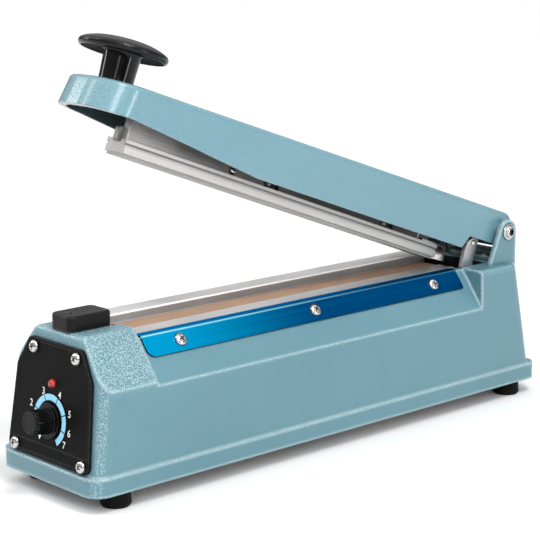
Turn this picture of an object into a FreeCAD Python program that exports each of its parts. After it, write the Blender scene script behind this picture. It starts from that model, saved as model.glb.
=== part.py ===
import FreeCAD, Part
import math
import os
import Sketcher

# Hand-held bench bag sealer: a cast housing with a heated bed, and a press arm hinged at its rear.
# The model frame stands on the ground, +X towards the hinge, -Y towards the cover plate, +Z up.
# Base pieces are drawn from the front of the skirt, arm pieces from the hinge axis with the arm level.

SIZES = {
    # housing
    "base_length": 332.0,
    "base_width": 80.0,
    "foot_height": 8.5,
    "skirt_height": 9.4,
    "skirt_corner": 9.0,
    "front_inset": 2.8,
    "front_lean": 7.7,
    "rear_inset": 5.5,
    "rear_lean": 11.0,
    "side_inset": 0.7,
    "side_draft": 3.0,
    "corner_radius": 7.7,
    "wall": 2.5,
    "shoulder_drop": 24.1,
    "shoulder_inset": 5.2,
    "ridge_rise": 4.5,
    "ridge_width": 38.0,
    "front_block_end": 41.5,
    "rear_block_length": 50.0,
    "rear_block_rise": 0.3,
    "edge_radius": 3.0,
    "plate_seat_shift": 1.3,
    "bed_seat_drop": 0.5,
    "well_length": 24.0,
    "well_width": 41.6,
    "floor_thick": 3.7,
    "base_plate_thick": 1.2,
    "boss_radius": 4.0,
    "foot_inset": 20.0,
    "foot_side_inset": 10.0,
    "foot_screw_radius": 1.5,
    "foot_screw_length": 14.0,
    # bed
    "bed_depth": 10.5,
    "bed_near_edge": 17.0,
    "bed_far_edge": 8.2,
    "bed_height": 78.7,
    "bed_end_gap": 6.0,
    "rail_width": 12.3,
    "rail_depth": 15.3,
    "rail_wall": 1.4,
    "tape_width": 13.0,
    "tape_thick": 0.2,
    "insulation_thick": 0.2,
    "element_width": 2.4,
    "element_thick": 0.2,
    "fit_gap": 0.3,
    "clamp_length": 4.8,
    "clip_radius": 9.0,
    # cover plate
    "plate_start_gap": 1.7,
    "plate_end_gap": 7.2,
    "plate_drop": 9.2,
    "plate_thick": 1.0,
    "plate_corner": 4.0,
    "plate_screw_inset": 22.4,
    "plate_screw_rise": 4.8,
    "plate_screw_radius": 3.4,
    # control panel
    "panel_thick": 2.0,
    "panel_top_width": 43.0,
    "panel_mid_inset": 19.4,
    "panel_low_inset": 13.6,
    "panel_top_drop": 5.8,
    "panel_mid_drop": 20.4,
    "panel_low_rise": 0.8,
    "groove_height": 25.8,
    "dial_height": 38.9,
    "dial_radius": 13.2,
    "dial_band": 3.1,
    "lamp_rise": 18.4,
    "lamp_radius": 2.3,
    "timer_knob_radius": 5.6,
    "timer_flange_radius": 9.0,
    "timer_knob_length": 14.4,
    "timer_shaft_radius": 3.0,
    "panel_screw_radius": 3.1,
    # switch
    "switch_block_start": 10.7,
    "switch_block_length": 26.1,
    "switch_block_width": 17.2,
    "switch_block_rise": 8.0,
    "switch_hole_x": 17.0,
    "switch_hole_radius": 1.8,
    "plunger_radius": 1.5,
    "plunger_travel": 2.0,
    # hinge
    "pivot_inset": 19.0,
    "pivot_rise": 18.3,
    "pivot_radius": 2.5,
    "ear_gap": 5.4,
    "ear_thick": 2.6,
    "ear_radius": 6.9,
    "ear_foot_front": 16.3,
    "ear_foot_rear": 7.0,
    "bridge_front": 4.5,
    "bridge_thick": 2.4,
    "bridge_wall_rise": 5.9,
    "bridge_screw_inset": 3.6,
    "bridge_screw_spread": 12.0,
    "open_angle": 19.04,
    # arm
    "arm_front_gap": 5.0,
    "arm_tail": 9.4,
    "arm_half_width": 24.0,
    "arm_top": 11.0,
    "arm_wall": 1.7,
    "nose_radius": 20.0,
    "nose_lean": 6.0,
    "arm_edge_radius": 2.6,
    "rim_nose_depth": 15.2,
    "rim_flat_inset": 23.0,
    "rim_flat_depth": 16.4,
    "rim_slope_inset": 108.0,
    "rim_slope_depth": 25.1,
    "rim_deep_depth": 27.5,
    "rim_notch_start": 31.0,
    "rim_notch_end": 26.0,
    "rim_tail_depth": 19.8,
    "handle_inset": 23.0,
    "handle_stem_radius": 8.2,
    "handle_neck_radius": 9.2,
    "handle_stem_length": 15.0,
    "handle_cap_radius": 22.6,
    "handle_cap_height": 7.6,
    # press bar
    "bar_tilt": 1.06,
    "bar_inset": 32.4,
    "bar_drop": 22.0,
    "bar_rear_gap": 33.1,
    "bar_width": 15.0,
    "bar_height": 7.0,
    "silicone_thick": 1.4,
    "silicone_width": 11.0,
    "web_thick": 6.0,
    "web_height": 13.7,
    "bar_travel": 9.4,
    "bar_hook_reach": 11.0,
    "web_start": 4.5,
    "web_screw_x": 76.4,
    "web_screw_height": 3.2,
    "guide_front_inset": 105.6,
    "guide_rear_inset": 41.9,
    "guide_length": 14.6,
    "guide_screw_reach": 8.0,
    "post_radius": 2.0,
    "pivot_fit": 0.06,
    "stud_radius": 3.0,
    "sleeve_radius": 4.0,
    "spring_wire": 0.9,
    "arm_tail_radius": 8.0,
    "bolt_head_radius": 4.75,
    "bracket_thick": 1.2,
    "gland_height": 30.0,
    "gland_bore": 3.6,
    "gland_radius": 6.0,
    "switch_pin_tip": -2.6,
    # inside the housing
    "board_start_gap": 17.0,
    "board_side_gap": 14.0,
    "board_lift": 4.0,
    "board_thick": 1.6,
    "inner_top_gap": 4.8,
    "core_end_gap": 46.0,
    "core_length": 66.0,
    "core_side_gap": 24.0,
    "coil_side_gap": 15.0,
    "core_foot": 12.0,
}


class Size:
    """A length that keeps the sheet formula it comes from."""

    def __init__(self, value, formula):
        self.value = float(value)
        self.formula = formula

    def join(self, other, sign, value):
        return Size(value, "(%s %s %s)" % (self.formula, sign, other.formula))

    def __add__(self, other):
        other = as_size(other)
        return self.join(other, "+", self.value + other.value)

    def __sub__(self, other):
        other = as_size(other)
        return self.join(other, "-", self.value - other.value)

    def __mul__(self, other):
        other = as_size(other)
        return self.join(other, "*", self.value * other.value)

    def __truediv__(self, other):
        other = as_size(other)
        return self.join(other, "/", self.value / other.value)

    def __neg__(self):
        return Size(-self.value, "(0 - %s)" % self.formula)

    def __radd__(self, other):
        return as_size(other) + self

    def __rsub__(self, other):
        return as_size(other) - self

    def __rmul__(self, other):
        return as_size(other) * self


def as_size(number):
    if isinstance(number, Size):
        return number
    return Size(number, "(%s)" % repr(float(number)))


def fill_sheet(doc, sizes):
    sheet = doc.addObject("Spreadsheet::Sheet", "Sizes")
    for row, (alias, value) in enumerate(sizes.items(), start=1):
        sheet.set("A%d" % row, alias)
        sheet.set("B%d" % row, str(value))
        sheet.setAlias("B%d" % row, alias)
    doc.recompute()
    return {alias: Size(sheet.get(alias), "Sizes." + alias) for alias in sizes}


doc = FreeCAD.newDocument("BagSealer")
S = fill_sheet(doc, SIZES)
V = FreeCAD.Vector
pieces = []

# Heights that follow the bed.
S["ridge_height"] = S["bed_height"] + S["ridge_rise"]
S["shoulder_height"] = S["ridge_height"] - S["shoulder_drop"]
S["rear_block_height"] = S["bed_height"] + S["rear_block_rise"]
S["bed_seat_height"] = S["bed_height"] - S["bed_seat_drop"]
S["bed_floor_height"] = S["bed_height"] - S["bed_depth"]
S["cavity_height"] = S["bed_floor_height"] - S["floor_thick"]
S["rail_height"] = S["bed_floor_height"] + S["rail_depth"]
S["plate_low_edge"] = S["bed_height"] - S["plate_drop"]
S["plate_flange_height"] = S["bed_seat_height"] + S["plate_thick"]
S["plate_screw_height"] = S["plate_low_edge"] + S["plate_screw_rise"]
S["panel_top"] = S["ridge_height"] - S["panel_top_drop"]
S["panel_mid"] = S["ridge_height"] - S["panel_mid_drop"]
S["panel_low"] = S["foot_height"] + S["skirt_height"] + S["panel_low_rise"]
S["switch_block_top"] = S["ridge_height"] + S["switch_block_rise"]
S["pivot_height"] = S["rear_block_height"] + S["pivot_rise"]
S["lamp_height"] = S["dial_height"] + S["lamp_rise"]
# Lengths and widths that follow the base and the arm.
S["shoulder_width"] = S["base_width"] - S["shoulder_inset"]
S["panel_mid_width"] = S["base_width"] - S["panel_mid_inset"]
S["panel_low_width"] = S["base_width"] - S["panel_low_inset"]
S["foot_spread"] = S["base_width"] / 2 - S["foot_side_inset"]
S["rear_block_start"] = S["base_length"] - S["rear_block_length"]
S["well_end"] = S["rear_block_start"] + S["well_length"]
S["bed_end"] = S["rear_block_start"] - S["bed_end_gap"]
S["plate_start"] = S["front_block_end"] + S["plate_start_gap"]
S["plate_end"] = S["rear_block_start"] - S["plate_end_gap"]
S["plate_screw_first"] = S["plate_start"] + S["plate_screw_inset"]
S["plate_screw_pitch"] = (S["plate_end"] - S["plate_start"]) / 2 - S["plate_screw_inset"]
S["pivot_x"] = S["base_length"] - S["pivot_inset"]
S["ear_foot_start"] = S["pivot_x"] - S["ear_foot_front"]
S["ear_foot_end"] = S["pivot_x"] + S["ear_foot_rear"]
S["bridge_start"] = S["pivot_x"] - S["bridge_front"]
S["ear_face"] = S["arm_half_width"] + S["ear_gap"]
S["arm_length"] = S["pivot_x"] - S["arm_front_gap"]
S["rim_flat_end"] = S["arm_length"] - S["rim_flat_inset"]
S["rim_slope_end"] = S["arm_length"] - S["rim_slope_inset"]
S["handle_x"] = S["arm_length"] - S["handle_inset"]
S["bar_start"] = S["arm_length"] - S["bar_inset"]
S["bar_length"] = S["bar_start"] - S["bar_rear_gap"]
S["guide_first"] = S["bar_start"] - S["guide_front_inset"]
S["guide_last"] = S["bar_rear_gap"] + S["guide_rear_inset"]


def bind_point(sketch, geometry, end, point):
    for kind, size in zip(("DistanceX", "DistanceY"), point):
        size = as_size(size)
        index = sketch.addConstraint(Sketcher.Constraint(kind, -1, 1, geometry, end, size.value))
        sketch.setExpression("Constraints[%d]" % index, size.formula)


def bind_radius(sketch, geometry, radius):
    radius = as_size(radius)
    index = sketch.addConstraint(Sketcher.Constraint("Radius", geometry, radius.value))
    sketch.setExpression("Constraints[%d]" % index, radius.formula)


def at(point):
    return V(as_size(point[0]).value, as_size(point[1]).value, 0)


def polygon(*points):
    """Closed outline through the given corners."""
    def draw(sketch):
        first = sketch.GeometryCount
        for index, point in enumerate(points):
            nxt = points[(index + 1) % len(points)]
            sketch.addGeometry(Part.LineSegment(at(point), at(nxt)), False)
        for index, point in enumerate(points):
            nxt = first + (index + 1) % len(points)
            sketch.addConstraint(Sketcher.Constraint("Coincident", first + index, 2, nxt, 1))
            bind_point(sketch, first + index, 1, point)
    return draw


def mirrored(*points):
    """Outline symmetrical about the sketch's vertical axis, given by its left half from the bottom up."""
    other = [(-as_size(x), y) for x, y in reversed(points)]
    return polygon(*points, *other)


def circle(x, y, radius):
    def draw(sketch):
        centre = at((x, y))
        index = sketch.addGeometry(Part.Circle(centre, V(0, 0, 1), as_size(radius).value), False)
        bind_point(sketch, index, 3, (x, y))
        bind_radius(sketch, index, radius)
    return draw


def box(left, low, right, high):
    return polygon((left, low), (right, low), (right, high), (left, high))


def rounded_box(left, low, right, high, radius, corners=(1, 1, 1, 1)):
    """Upright rectangle with arcs of one radius at the chosen corners, anticlockwise from low left."""
    left, low, right, high, radius = [as_size(size) for size in (left, low, right, high, radius)]
    signs = ((1, 1, left, low), (-1, 1, right, low), (-1, -1, right, high), (1, -1, left, high))

    def draw(sketch):
        ends = []
        for index, (sx, sy, x, y) in enumerate(signs):
            along = (x, y + radius * sy) if index % 2 == 0 else (x + radius * sx, y)
            away = (x + radius * sx, y) if index % 2 == 0 else (x, y + radius * sy)
            ends.append((along, away) if corners[index] else ((x, y), (x, y)))
        first = sketch.GeometryCount
        for index in range(4):
            start, stop = ends[index][1], ends[(index + 1) % 4][0]
            sketch.addGeometry(Part.LineSegment(at(start), at(stop)), False)
            bind_point(sketch, first + index, 1, start)
            bind_point(sketch, first + index, 2, stop)
        for index, (sx, sy, x, y) in enumerate(signs):
            if not corners[index]:
                continue
            centre = at((x + radius * sx, y + radius * sy))
            turn = math.pi + index * math.pi / 2
            arc = Part.ArcOfCircle(Part.Circle(centre, V(0, 0, 1), radius.value), turn, turn + math.pi / 2)
            geometry = sketch.addGeometry(arc, False)
            before = first + (index - 1) % 4
            sketch.addConstraint(Sketcher.Constraint("Coincident", geometry, 1, before, 2))
            sketch.addConstraint(Sketcher.Constraint("Coincident", geometry, 2, first + index, 1))
            bind_radius(sketch, geometry, radius)
    return draw


def bend(left, right, high, low, radius, thick):
    """Flat strip that runs to the right and then turns down in one round bend."""
    left, right, high, low, radius, thick = [as_size(n) for n in (left, right, high, low, radius, thick)]
    centre = (right - radius, high - radius)

    def draw(sketch):
        first = sketch.GeometryCount
        lines = (((right - radius, high), (left, high)), ((left, high), (left, high - thick)),
                 ((left, high - thick), (right - radius, high - thick)),
                 ((right - thick, high - radius), (right - thick, low)),
                 ((right - thick, low), (right, low)), ((right, low), (right, high - radius)))
        for index, (start, stop) in enumerate(lines):
            sketch.addGeometry(Part.LineSegment(at(start), at(stop)), False)
            bind_point(sketch, first + index, 1, start)
            bind_point(sketch, first + index, 2, stop)
        for size, top, side in ((radius, (first, 1), (first + 5, 2)), (radius - thick, (first + 2, 2), (first + 3, 1))):
            ring = Part.Circle(at(centre), V(0, 0, 1), size.value)
            arc = sketch.addGeometry(Part.ArcOfCircle(ring, 0, math.pi / 2), False)
            sketch.addConstraint(Sketcher.Constraint("Coincident", arc, 1, *side))
            sketch.addConstraint(Sketcher.Constraint("Coincident", arc, 2, *top))
            bind_radius(sketch, arc, size)
    return draw


def both(*drawings):
    def draw(sketch):
        for drawing in drawings:
            drawing(sketch)
    return draw


# Planes: their names, and whether a solid from a sketch on them grows towards the negative side.
PLANES = {"top": ("XY_Plane", 1), "side": ("XZ_Plane", -1), "end": ("YZ_Plane", 1)}


class Piece:
    """One separate piece: a body of sketches and features, placed once it is complete."""

    def __init__(self, label):
        self.body = doc.addObject("PartDesign::Body", "Body_" + label)
        self.body.Label = label
        self.feature = None

    def sketch(self, plane, drawing, offset):
        role, sign = PLANES[plane]
        support = [item for item in self.body.Origin.OriginFeatures if item.Role == role][0]
        sketch = self.body.newObject("Sketcher::SketchObject", "Outline")
        sketch.AttachmentSupport = [(support, "")]
        sketch.MapMode = "FlatFace"
        offset = as_size(offset) * sign
        sketch.AttachmentOffset = FreeCAD.Placement(V(0, 0, offset.value), FreeCAD.Rotation())
        sketch.setExpression("AttachmentOffset.Base.z", offset.formula)
        drawing(sketch)
        return sketch

    def grow(self, kind, sketch, start, end):
        feature = self.body.newObject("PartDesign::" + kind, kind)
        feature.Profile = sketch
        length = as_size(end) - start
        feature.Length = length.value
        feature.setExpression("Length", length.formula)
        self.feature = feature
        return feature

    def add(self, plane, drawing, start, end):
        base = start if PLANES[plane][1] > 0 else end
        return self.grow("Pad", self.sketch(plane, drawing, base), start, end)

    def cut(self, plane, drawing, start, end):
        base = end if PLANES[plane][1] > 0 else start
        return self.grow("Pocket", self.sketch(plane, drawing, base), start, end)

    def drill(self, spot, lean, radius, depth):
        """Round hole square to a leaning face, from a point on that face."""
        sketch = self.sketch("top", circle(0, 0, radius), 0)
        spot = [as_size(size) for size in spot]
        sketch.AttachmentOffset = FreeCAD.Placement(V(*[size.value for size in spot]), lean)
        for axis, size in zip("xyz", spot):
            sketch.setExpression("AttachmentOffset.Base." + axis, size.formula)
        return self.grow("Pocket", sketch, 0, depth)

    def turn(self, plane, drawing, axis="V_Axis", kind="Revolution"):
        sketch = self.sketch(plane, drawing, 0)
        feature = self.body.newObject("PartDesign::" + kind, kind)
        feature.Profile = sketch
        feature.ReferenceAxis = (sketch, [axis])
        feature.Angle = 360
        self.feature = feature
        return feature

    def loft(self, kind, *sections):
        sketches = [self.sketch("top", drawing, height) for height, drawing in sections]
        feature = self.body.newObject("PartDesign::" + kind, kind)
        feature.Profile = sketches[0]
        feature.Sections = sketches[1:]
        feature.Ruled = True
        self.feature = feature
        return feature

    def soften(self, kind, size, test):
        """Fillet or chamfer of the edges that pass a test on their bounds."""
        doc.recompute()
        edges = self.feature.Shape.Edges
        names = ["Edge%d" % (index + 1) for index, edge in enumerate(edges) if test(edge.BoundBox)]
        feature = self.body.newObject("PartDesign::" + kind, kind)
        feature.Base = (self.feature, names)
        size = as_size(size)
        prop = "Radius" if kind == "Fillet" else "Size"
        setattr(feature, prop, size.value)
        feature.setExpression(prop, size.formula)
        self.feature = feature
        return feature

    def place(self, placement):
        self.body.Placement = placement
        pieces.append(self.body)
        return self.body


def group(label, source, placements):
    """A set of like pieces in one node, each a separate solid."""
    doc.recompute()
    shapes = [source.Shape.transformed(place.toMatrix()) for place in placements]
    feature = doc.addObject("Part::Feature", "Group_" + label)
    feature.Label = label
    feature.Shape = Part.makeCompound(shapes)
    pieces.append(feature)
    return feature


# Positions that several pieces share.
base_top = S["foot_height"] + S["skirt_height"]
half_skirt = S["base_width"] / 2
half_body = half_skirt - S["side_inset"]
half_shoulder = S["shoulder_width"] / 2
half_ridge = S["ridge_width"] / 2
lean_height = S["ridge_height"] - base_top
slope_run = half_shoulder - half_ridge
slope_rise = S["ridge_height"] - S["shoulder_height"]
foot_rows = (S["foot_inset"], S["base_length"] - S["foot_inset"] + 2)
plate_screw_rows = [S["plate_screw_first"] + S["plate_screw_pitch"] * index for index in range(3)]
panel_screw_rows = ((S["panel_top_width"] / 2 - 4.3, S["panel_top"] - 4.8),
                    (S["panel_low_width"] / 2 - 6, S["panel_low"] + 3.3))
panel_screw_spots = [(y * side, z) for y, z in panel_screw_rows for side in (-1, 1)]
tape_top = S["bed_height"] + S["insulation_thick"] + S["element_thick"] + S["tape_thick"]


def front_face(height):
    return S["front_inset"] + S["front_lean"] * (as_size(height) - base_top) / lean_height


lean_angle = math.degrees(math.atan2(S["front_lean"].value, lean_height.value))
lean_cos, lean_sin = math.cos(math.radians(lean_angle)), math.sin(math.radians(lean_angle))
knob_face = front_face(S["dial_height"]) - S["timer_knob_length"] * lean_cos - S["timer_knob_radius"] * lean_sin
mid_x = (S["base_length"] + knob_face) / 2


def rear_face(height):
    rear = S["base_length"] - S["rear_inset"]
    return rear - S["rear_lean"] * (as_size(height) - base_top) / lean_height


def side_face(height):
    return half_body - S["side_draft"] * (as_size(height) - base_top) / lean_height


def slope_face(height):
    return half_ridge + slope_run * (S["ridge_height"] - height) / slope_rise


def slope_height(reach):
    return S["ridge_height"] - (reach - half_ridge) * slope_rise / slope_run


def slope_turn():
    """Turns an upright screw so that it stands square to the near slope."""
    tilt = math.degrees(math.atan2(slope_rise.value, slope_run.value))
    return FreeCAD.Rotation(V(1, 0, 0), tilt)


def base_place(x=0.0, y=0.0, z=0.0, turn=None):
    x, y, z = [as_size(item).value for item in (x, y, z)]
    return FreeCAD.Placement(V(x - mid_x.value, y, z), turn or FreeCAD.Rotation())


def about_y(angle):
    return FreeCAD.Rotation(V(0, 1, 0), as_size(angle).value)


arm_frame = base_place(S["pivot_x"], 0, S["pivot_height"], about_y(S["open_angle"]))
bar_in_arm = V(-S["bar_start"].value, 0, -S["bar_drop"].value)
bar_frame = arm_frame.multiply(FreeCAD.Placement(bar_in_arm, about_y(S["bar_tilt"])))
panel_frame = base_place(S["front_inset"], 0, base_top, about_y(lean_angle))


bar_slope = math.tan(math.radians(S["bar_tilt"].value))
guide_axes = (-S["guide_first"], -S["guide_last"])


def bar_reach(x):
    """Distance along the press bar of an arm station, at the top of the bar."""
    return x - bar_in_arm.x - bar_slope * (S["silicone_thick"] + S["bar_height"])


def bar_crown(x):
    """Height of the top of the press bar in the arm's frame."""
    return S["silicone_thick"] + S["bar_height"] + bar_in_arm.z - bar_reach(x) * bar_slope


def panel_height(height):
    """Distance up the leaning front face from the top of the skirt."""
    return (as_size(height) - base_top) / lean_cos


def base_housing():
    piece = Piece("base_housing")
    low, high = S["foot_height"], S["ridge_height"]
    clear = 12.0
    piece.add("top", rounded_box(0, -half_skirt, S["base_length"], half_skirt, S["skirt_corner"]), low, base_top)
    piece.loft(
        "AdditiveLoft",
        (base_top, rounded_box(front_face(base_top), -side_face(base_top), rear_face(base_top),
                               side_face(base_top), S["corner_radius"])),
        (high, rounded_box(front_face(high), -side_face(high), rear_face(high),
                           side_face(high), S["corner_radius"])))
    outside = half_skirt + clear
    above = high + clear
    piece.cut("end", both(polygon((-half_ridge, high), (-half_ridge, above), (-outside, above),
                                  (-outside, slope_height(outside))),
                          polygon((half_ridge, high), (outside, slope_height(outside)),
                                  (outside, above), (half_ridge, above))),
              -clear, S["rear_block_start"])
    shift = S["plate_seat_shift"]
    seat = S["bed_seat_height"]
    piece.cut("end", mirrored((-outside, above), (-outside, slope_height(outside + shift)),
                              (-slope_face(seat) + shift, seat)),
              S["front_block_end"], S["rear_block_start"])
    piece.cut("side", box(S["rear_block_start"], S["rear_block_height"], S["base_length"] + clear, above),
              -outside, outside)
    ridge = high.value - 0.1
    block_end = S["front_block_end"].value + 0.1
    piece.soften("Fillet", S["edge_radius"], lambda b: b.ZMin > ridge and b.XMax < block_end
                 and b.XMin < block_end - 1)
    tail = S["rear_block_height"].value
    tail_start = S["rear_block_start"].value + 1
    piece.soften("Fillet", S["edge_radius"], lambda b: abs(b.ZMin - tail) < 0.01 and abs(b.ZMax - tail) < 0.01
                 and b.XMax > tail_start)
    hollow_housing(piece)
    return piece.place(base_place())


def hollow_housing(piece):
    low = S["foot_height"]
    wall = S["wall"]
    ledge = S["shoulder_height"] - wall
    piece.loft(
        "SubtractiveLoft",
        (low, rounded_box(front_face(base_top) + wall, -side_face(base_top) + wall,
                          rear_face(base_top) - wall, side_face(base_top) - wall, S["corner_radius"] - wall)),
        (ledge, rounded_box(front_face(ledge) + wall, -side_face(ledge) + wall, rear_face(ledge) - wall,
                            side_face(ledge) - wall, S["corner_radius"] - wall)))
    inset = wall + S["plate_seat_shift"] + 1.0
    top = S["cavity_height"]
    piece.cut("end", mirrored((-slope_face(ledge) + inset, ledge), (-slope_face(top) + inset, top)),
              front_face(top) + wall, rear_face(top) - wall)
    crown = S["ridge_height"] - wall
    piece.cut("end", mirrored((-slope_face(top) + inset, top), (-slope_face(crown) + inset, crown)),
              front_face(crown) + wall, S["front_block_end"] - wall)
    gap = S["fit_gap"]
    near = -S["bed_near_edge"] - gap
    far = S["bed_far_edge"] + gap + S["rail_width"] + gap
    high = S["ridge_height"] + 1
    piece.cut("top", box(S["front_block_end"], near, S["rear_block_start"] + 1, far), S["bed_floor_height"], high)
    notch = S["bar_width"] / 2 + 1
    piece.cut("top", box(S["switch_block_start"] + S["switch_block_length"], -notch,
                         S["front_block_end"] + 1, notch), tape_top, high)
    half_well = S["well_width"] / 2
    piece.cut("top", box(S["rear_block_start"], -half_well, S["well_end"], half_well), top + wall, high)
    piece.cut("end", circle(0, S["gland_height"], S["gland_radius"] + 0.05), rear_face(top) - wall - 2,
              S["base_length"])
    window = box(-22.0, 26.0, 22.0, 66.0)
    piece.cut("end", window, -1, front_face(S["ridge_height"]) + wall)
    piece.cut("top", circle(S["switch_hole_x"], 0, S["plunger_radius"] + 1.2), crown - 1, high)
    bosses = [(x, y) for x in foot_rows for y in (-S["foot_spread"], S["foot_spread"])]
    piece.add("top", both(*[circle(x, y, S["boss_radius"]) for x, y in bosses]),
              low + S["base_plate_thick"], top + 0.5)
    piece.cut("top", both(*[circle(x, y, S["foot_screw_radius"] + 0.1) for x, y in bosses]),
              low, low + S["foot_screw_length"])
    bridge_x = S["bridge_start"] + S["bridge_screw_inset"]
    piece.cut("top", both(circle(bridge_x, -S["bridge_screw_spread"], 1.5),
                          circle(bridge_x, S["bridge_screw_spread"], 1.5)), S["rear_block_height"] - 9, high)
    for x in plate_screw_rows:
        height = S["plate_screw_height"]
        piece.drill((x, -slope_face(height), height), slope_turn(), 1.05, wall + 1.5)
    for y, z in panel_screw_spots:
        piece.drill((front_face(z), y, z), about_y(lean_angle - 90), 1.25, wall + 0.8)


def base_plate():
    piece = Piece("base_plate")
    wall = S["wall"] + S["fit_gap"]
    low = S["foot_height"]
    piece.add("top", rounded_box(front_face(base_top) + wall, -side_face(base_top) + wall,
                                 rear_face(base_top) - wall, side_face(base_top) - wall,
                                 S["corner_radius"] - wall), low, low + S["base_plate_thick"])
    holes = [circle(x, y, S["foot_screw_radius"] + 0.2) for x in foot_rows
             for y in (-S["foot_spread"], S["foot_spread"])]
    piece.cut("top", both(*holes), low - 1, low + S["base_plate_thick"] + 1)
    slot = piece.cut("top", rounded_box(60, -14, 64, 14, 1.9), low - 1, low + S["base_plate_thick"] + 1)
    vents = piece.body.newObject("PartDesign::LinearPattern", "Vents")
    vents.Originals = [slot]
    vents.Direction = (slot.Profile[0], ["H_Axis"])
    vents.Length = 60
    vents.Occurrences = 6
    piece.body.Tip = vents
    return piece.place(base_place())


def rubber_feet():
    piece = Piece("foot_master")
    tall, shank = S["foot_height"], S["foot_screw_radius"]
    piece.turn("side", polygon((shank + 0.1, 3.5), (3.2, 3.5), (3.2, 0), (7.0, 0), (7.8, 1.2), (7.4, tall),
                               (shank + 0.1, tall)))
    spots = [base_place(x, y) for x in foot_rows for y in (-S["foot_spread"], S["foot_spread"])]
    group("rubber_feet", piece.body, spots)
    screw = Piece("foot_screw_master")
    screw.add("top", circle(0, 0, 2.8), 1.2, 3.5)
    screw.add("top", circle(0, 0, shank), 3.5, S["foot_height"] + S["foot_screw_length"] - 1)
    screw.cut("top", both(box(-2.0, -0.4, 2.0, 0.4)), 0.6, 1.9)
    group("foot_screws", screw.body, spots)


def heating_bed():
    """Drawn aluminium profile with a land for the seal line and a slot that lightens it."""
    piece = Piece("heating_bed")
    near, far = -S["bed_near_edge"], S["bed_far_edge"]
    low, high = S["bed_floor_height"], S["bed_height"]
    start, end = S["front_block_end"] + S["fit_gap"], S["bed_end"]
    piece.add("end", box(near, low, far, high), start, end)
    piece.cut("end", both(box(-9.0, low - 1, -1.5, high - 3.0), box(1.5, low - 1, 5.5, high - 3.0)), start - 1, end + 1)
    half_tape = S["tape_width"] / 2
    piece.add("end", both(box(near, high, -half_tape - 0.3, tape_top),
                          box(half_tape + 0.3, high, far, tape_top)), start, end)
    piece.place(base_place())
    rail = Piece("back_rail")
    left = far + S["fit_gap"]
    wall = S["rail_wall"]
    rail_end = S["rear_block_start"] - S["fit_gap"]
    rail.add("end", box(left, low, left + S["rail_width"], S["rail_height"]), start, rail_end)
    rail.cut("end", box(left + wall, low + wall, left + S["rail_width"] - wall, S["rail_height"] - wall),
             start - 1, rail_end + 1)
    rail.place(base_place())


def seal_line():
    half = S["tape_width"] / 2
    start, end = S["front_block_end"] + S["clamp_length"] + S["fit_gap"] * 2, S["bed_end"]
    first = S["bed_height"]
    second = first + S["insulation_thick"]
    third = second + S["element_thick"]
    strip = Piece("insulation_strip")
    strip.add("end", box(-half, first, half, second), start, end)
    strip.place(base_place())
    element = Piece("heating_element")
    half_wire = S["element_width"] / 2
    element.add("end", box(-half_wire, second, half_wire, third), start, end)
    element.place(base_place())
    tape = Piece("ptfe_tape")
    tape.add("end", polygon((-half, second), (-half_wire, second), (-half_wire, third), (half_wire, third),
                            (half_wire, second), (half, second), (half, tape_top), (-half, tape_top)), start, end)
    tape.place(base_place())


def bed_ends():
    """Clamp and lug that hold the two ends of the heated strip, and the curved clip at the rear."""
    clamp = Piece("front_clamp")
    half = S["tape_width"] / 2
    start = S["front_block_end"] + S["fit_gap"]
    clamp.add("end", box(-half, S["bed_height"], half, tape_top), start, start + S["clamp_length"])
    clamp.place(base_place())
    lug = Piece("rear_terminal")
    low, end = S["bed_floor_height"], S["bed_end"] + S["fit_gap"]
    lug.add("side", polygon((end, low), (end + 4.8, low), (end + 4.8, low + 3), (end + 2, low + 10),
                            (end, low + 10)), -5, 5)
    lug.place(base_place())
    clip = Piece("bed_end_clip")
    radius = S["clip_radius"]
    near, far = -S["bed_near_edge"] + 0.5, -half - S["fit_gap"]
    clip.add("side", bend(end, end + 1 + radius, tape_top, tape_top - radius - 0.5, radius, 1.0), near, far)
    clip.place(base_place())


def cover_plate():
    piece = Piece("cover_plate")
    low, fold = S["plate_low_edge"], S["plate_flange_height"]
    seat, shift = S["bed_seat_height"], S["plate_seat_shift"]
    edge = -S["bed_near_edge"] - S["fit_gap"]
    piece.add("end", polygon((-slope_face(low), low), (-slope_face(fold), fold), (edge, fold), (edge, seat),
                             (-slope_face(seat) + shift, seat), (-slope_face(low) + shift, low)),
              S["plate_start"], S["plate_end"])
    piece.cut("side", both(corner_waste(S["plate_start"], low, S["plate_corner"], 1),
                           corner_waste(S["plate_end"], low, S["plate_corner"], -1)), -half_skirt, 0)
    for x in plate_screw_rows:
        height = S["plate_screw_height"]
        piece.drill((x, -slope_face(height), height), slope_turn(), 1.2, S["plate_thick"] + 1)
    return piece.place(base_place())


def corner_waste(x, low, radius, side):
    """What a round corner leaves off at the low end of a plate."""
    turns = [math.pi / 8 * step for step in range(5)]
    curve = [(x + radius * side * (1 - math.sin(turn)), low + radius * (1 - math.cos(turn))) for turn in turns]
    return polygon((x - side, low - 1), (x + radius * side, low - 1), *curve, (x - side, low + radius))


def screw_master(label, radius, dome, shank_radius, shank):
    """Domed cross-head screw standing on z = 0 with its shank below."""
    piece = Piece(label)
    radius, dome = as_size(radius), as_size(dome)
    piece.turn("side", polygon((0, -as_size(shank)), (shank_radius, -as_size(shank)), (shank_radius, 0),
                               (radius, 0), (radius, dome * 0.35), (radius * 0.72, dome * 0.85),
                               (radius * 0.3, dome), (0, dome)))
    reach, slot = radius * 0.55, radius * 0.12
    piece.cut("top", box(-reach, -slot, reach, slot), dome * 0.35, dome + 1)
    piece.cut("top", box(-slot, -reach, slot, reach), dome * 0.35, dome + 1)
    return piece.body


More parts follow.
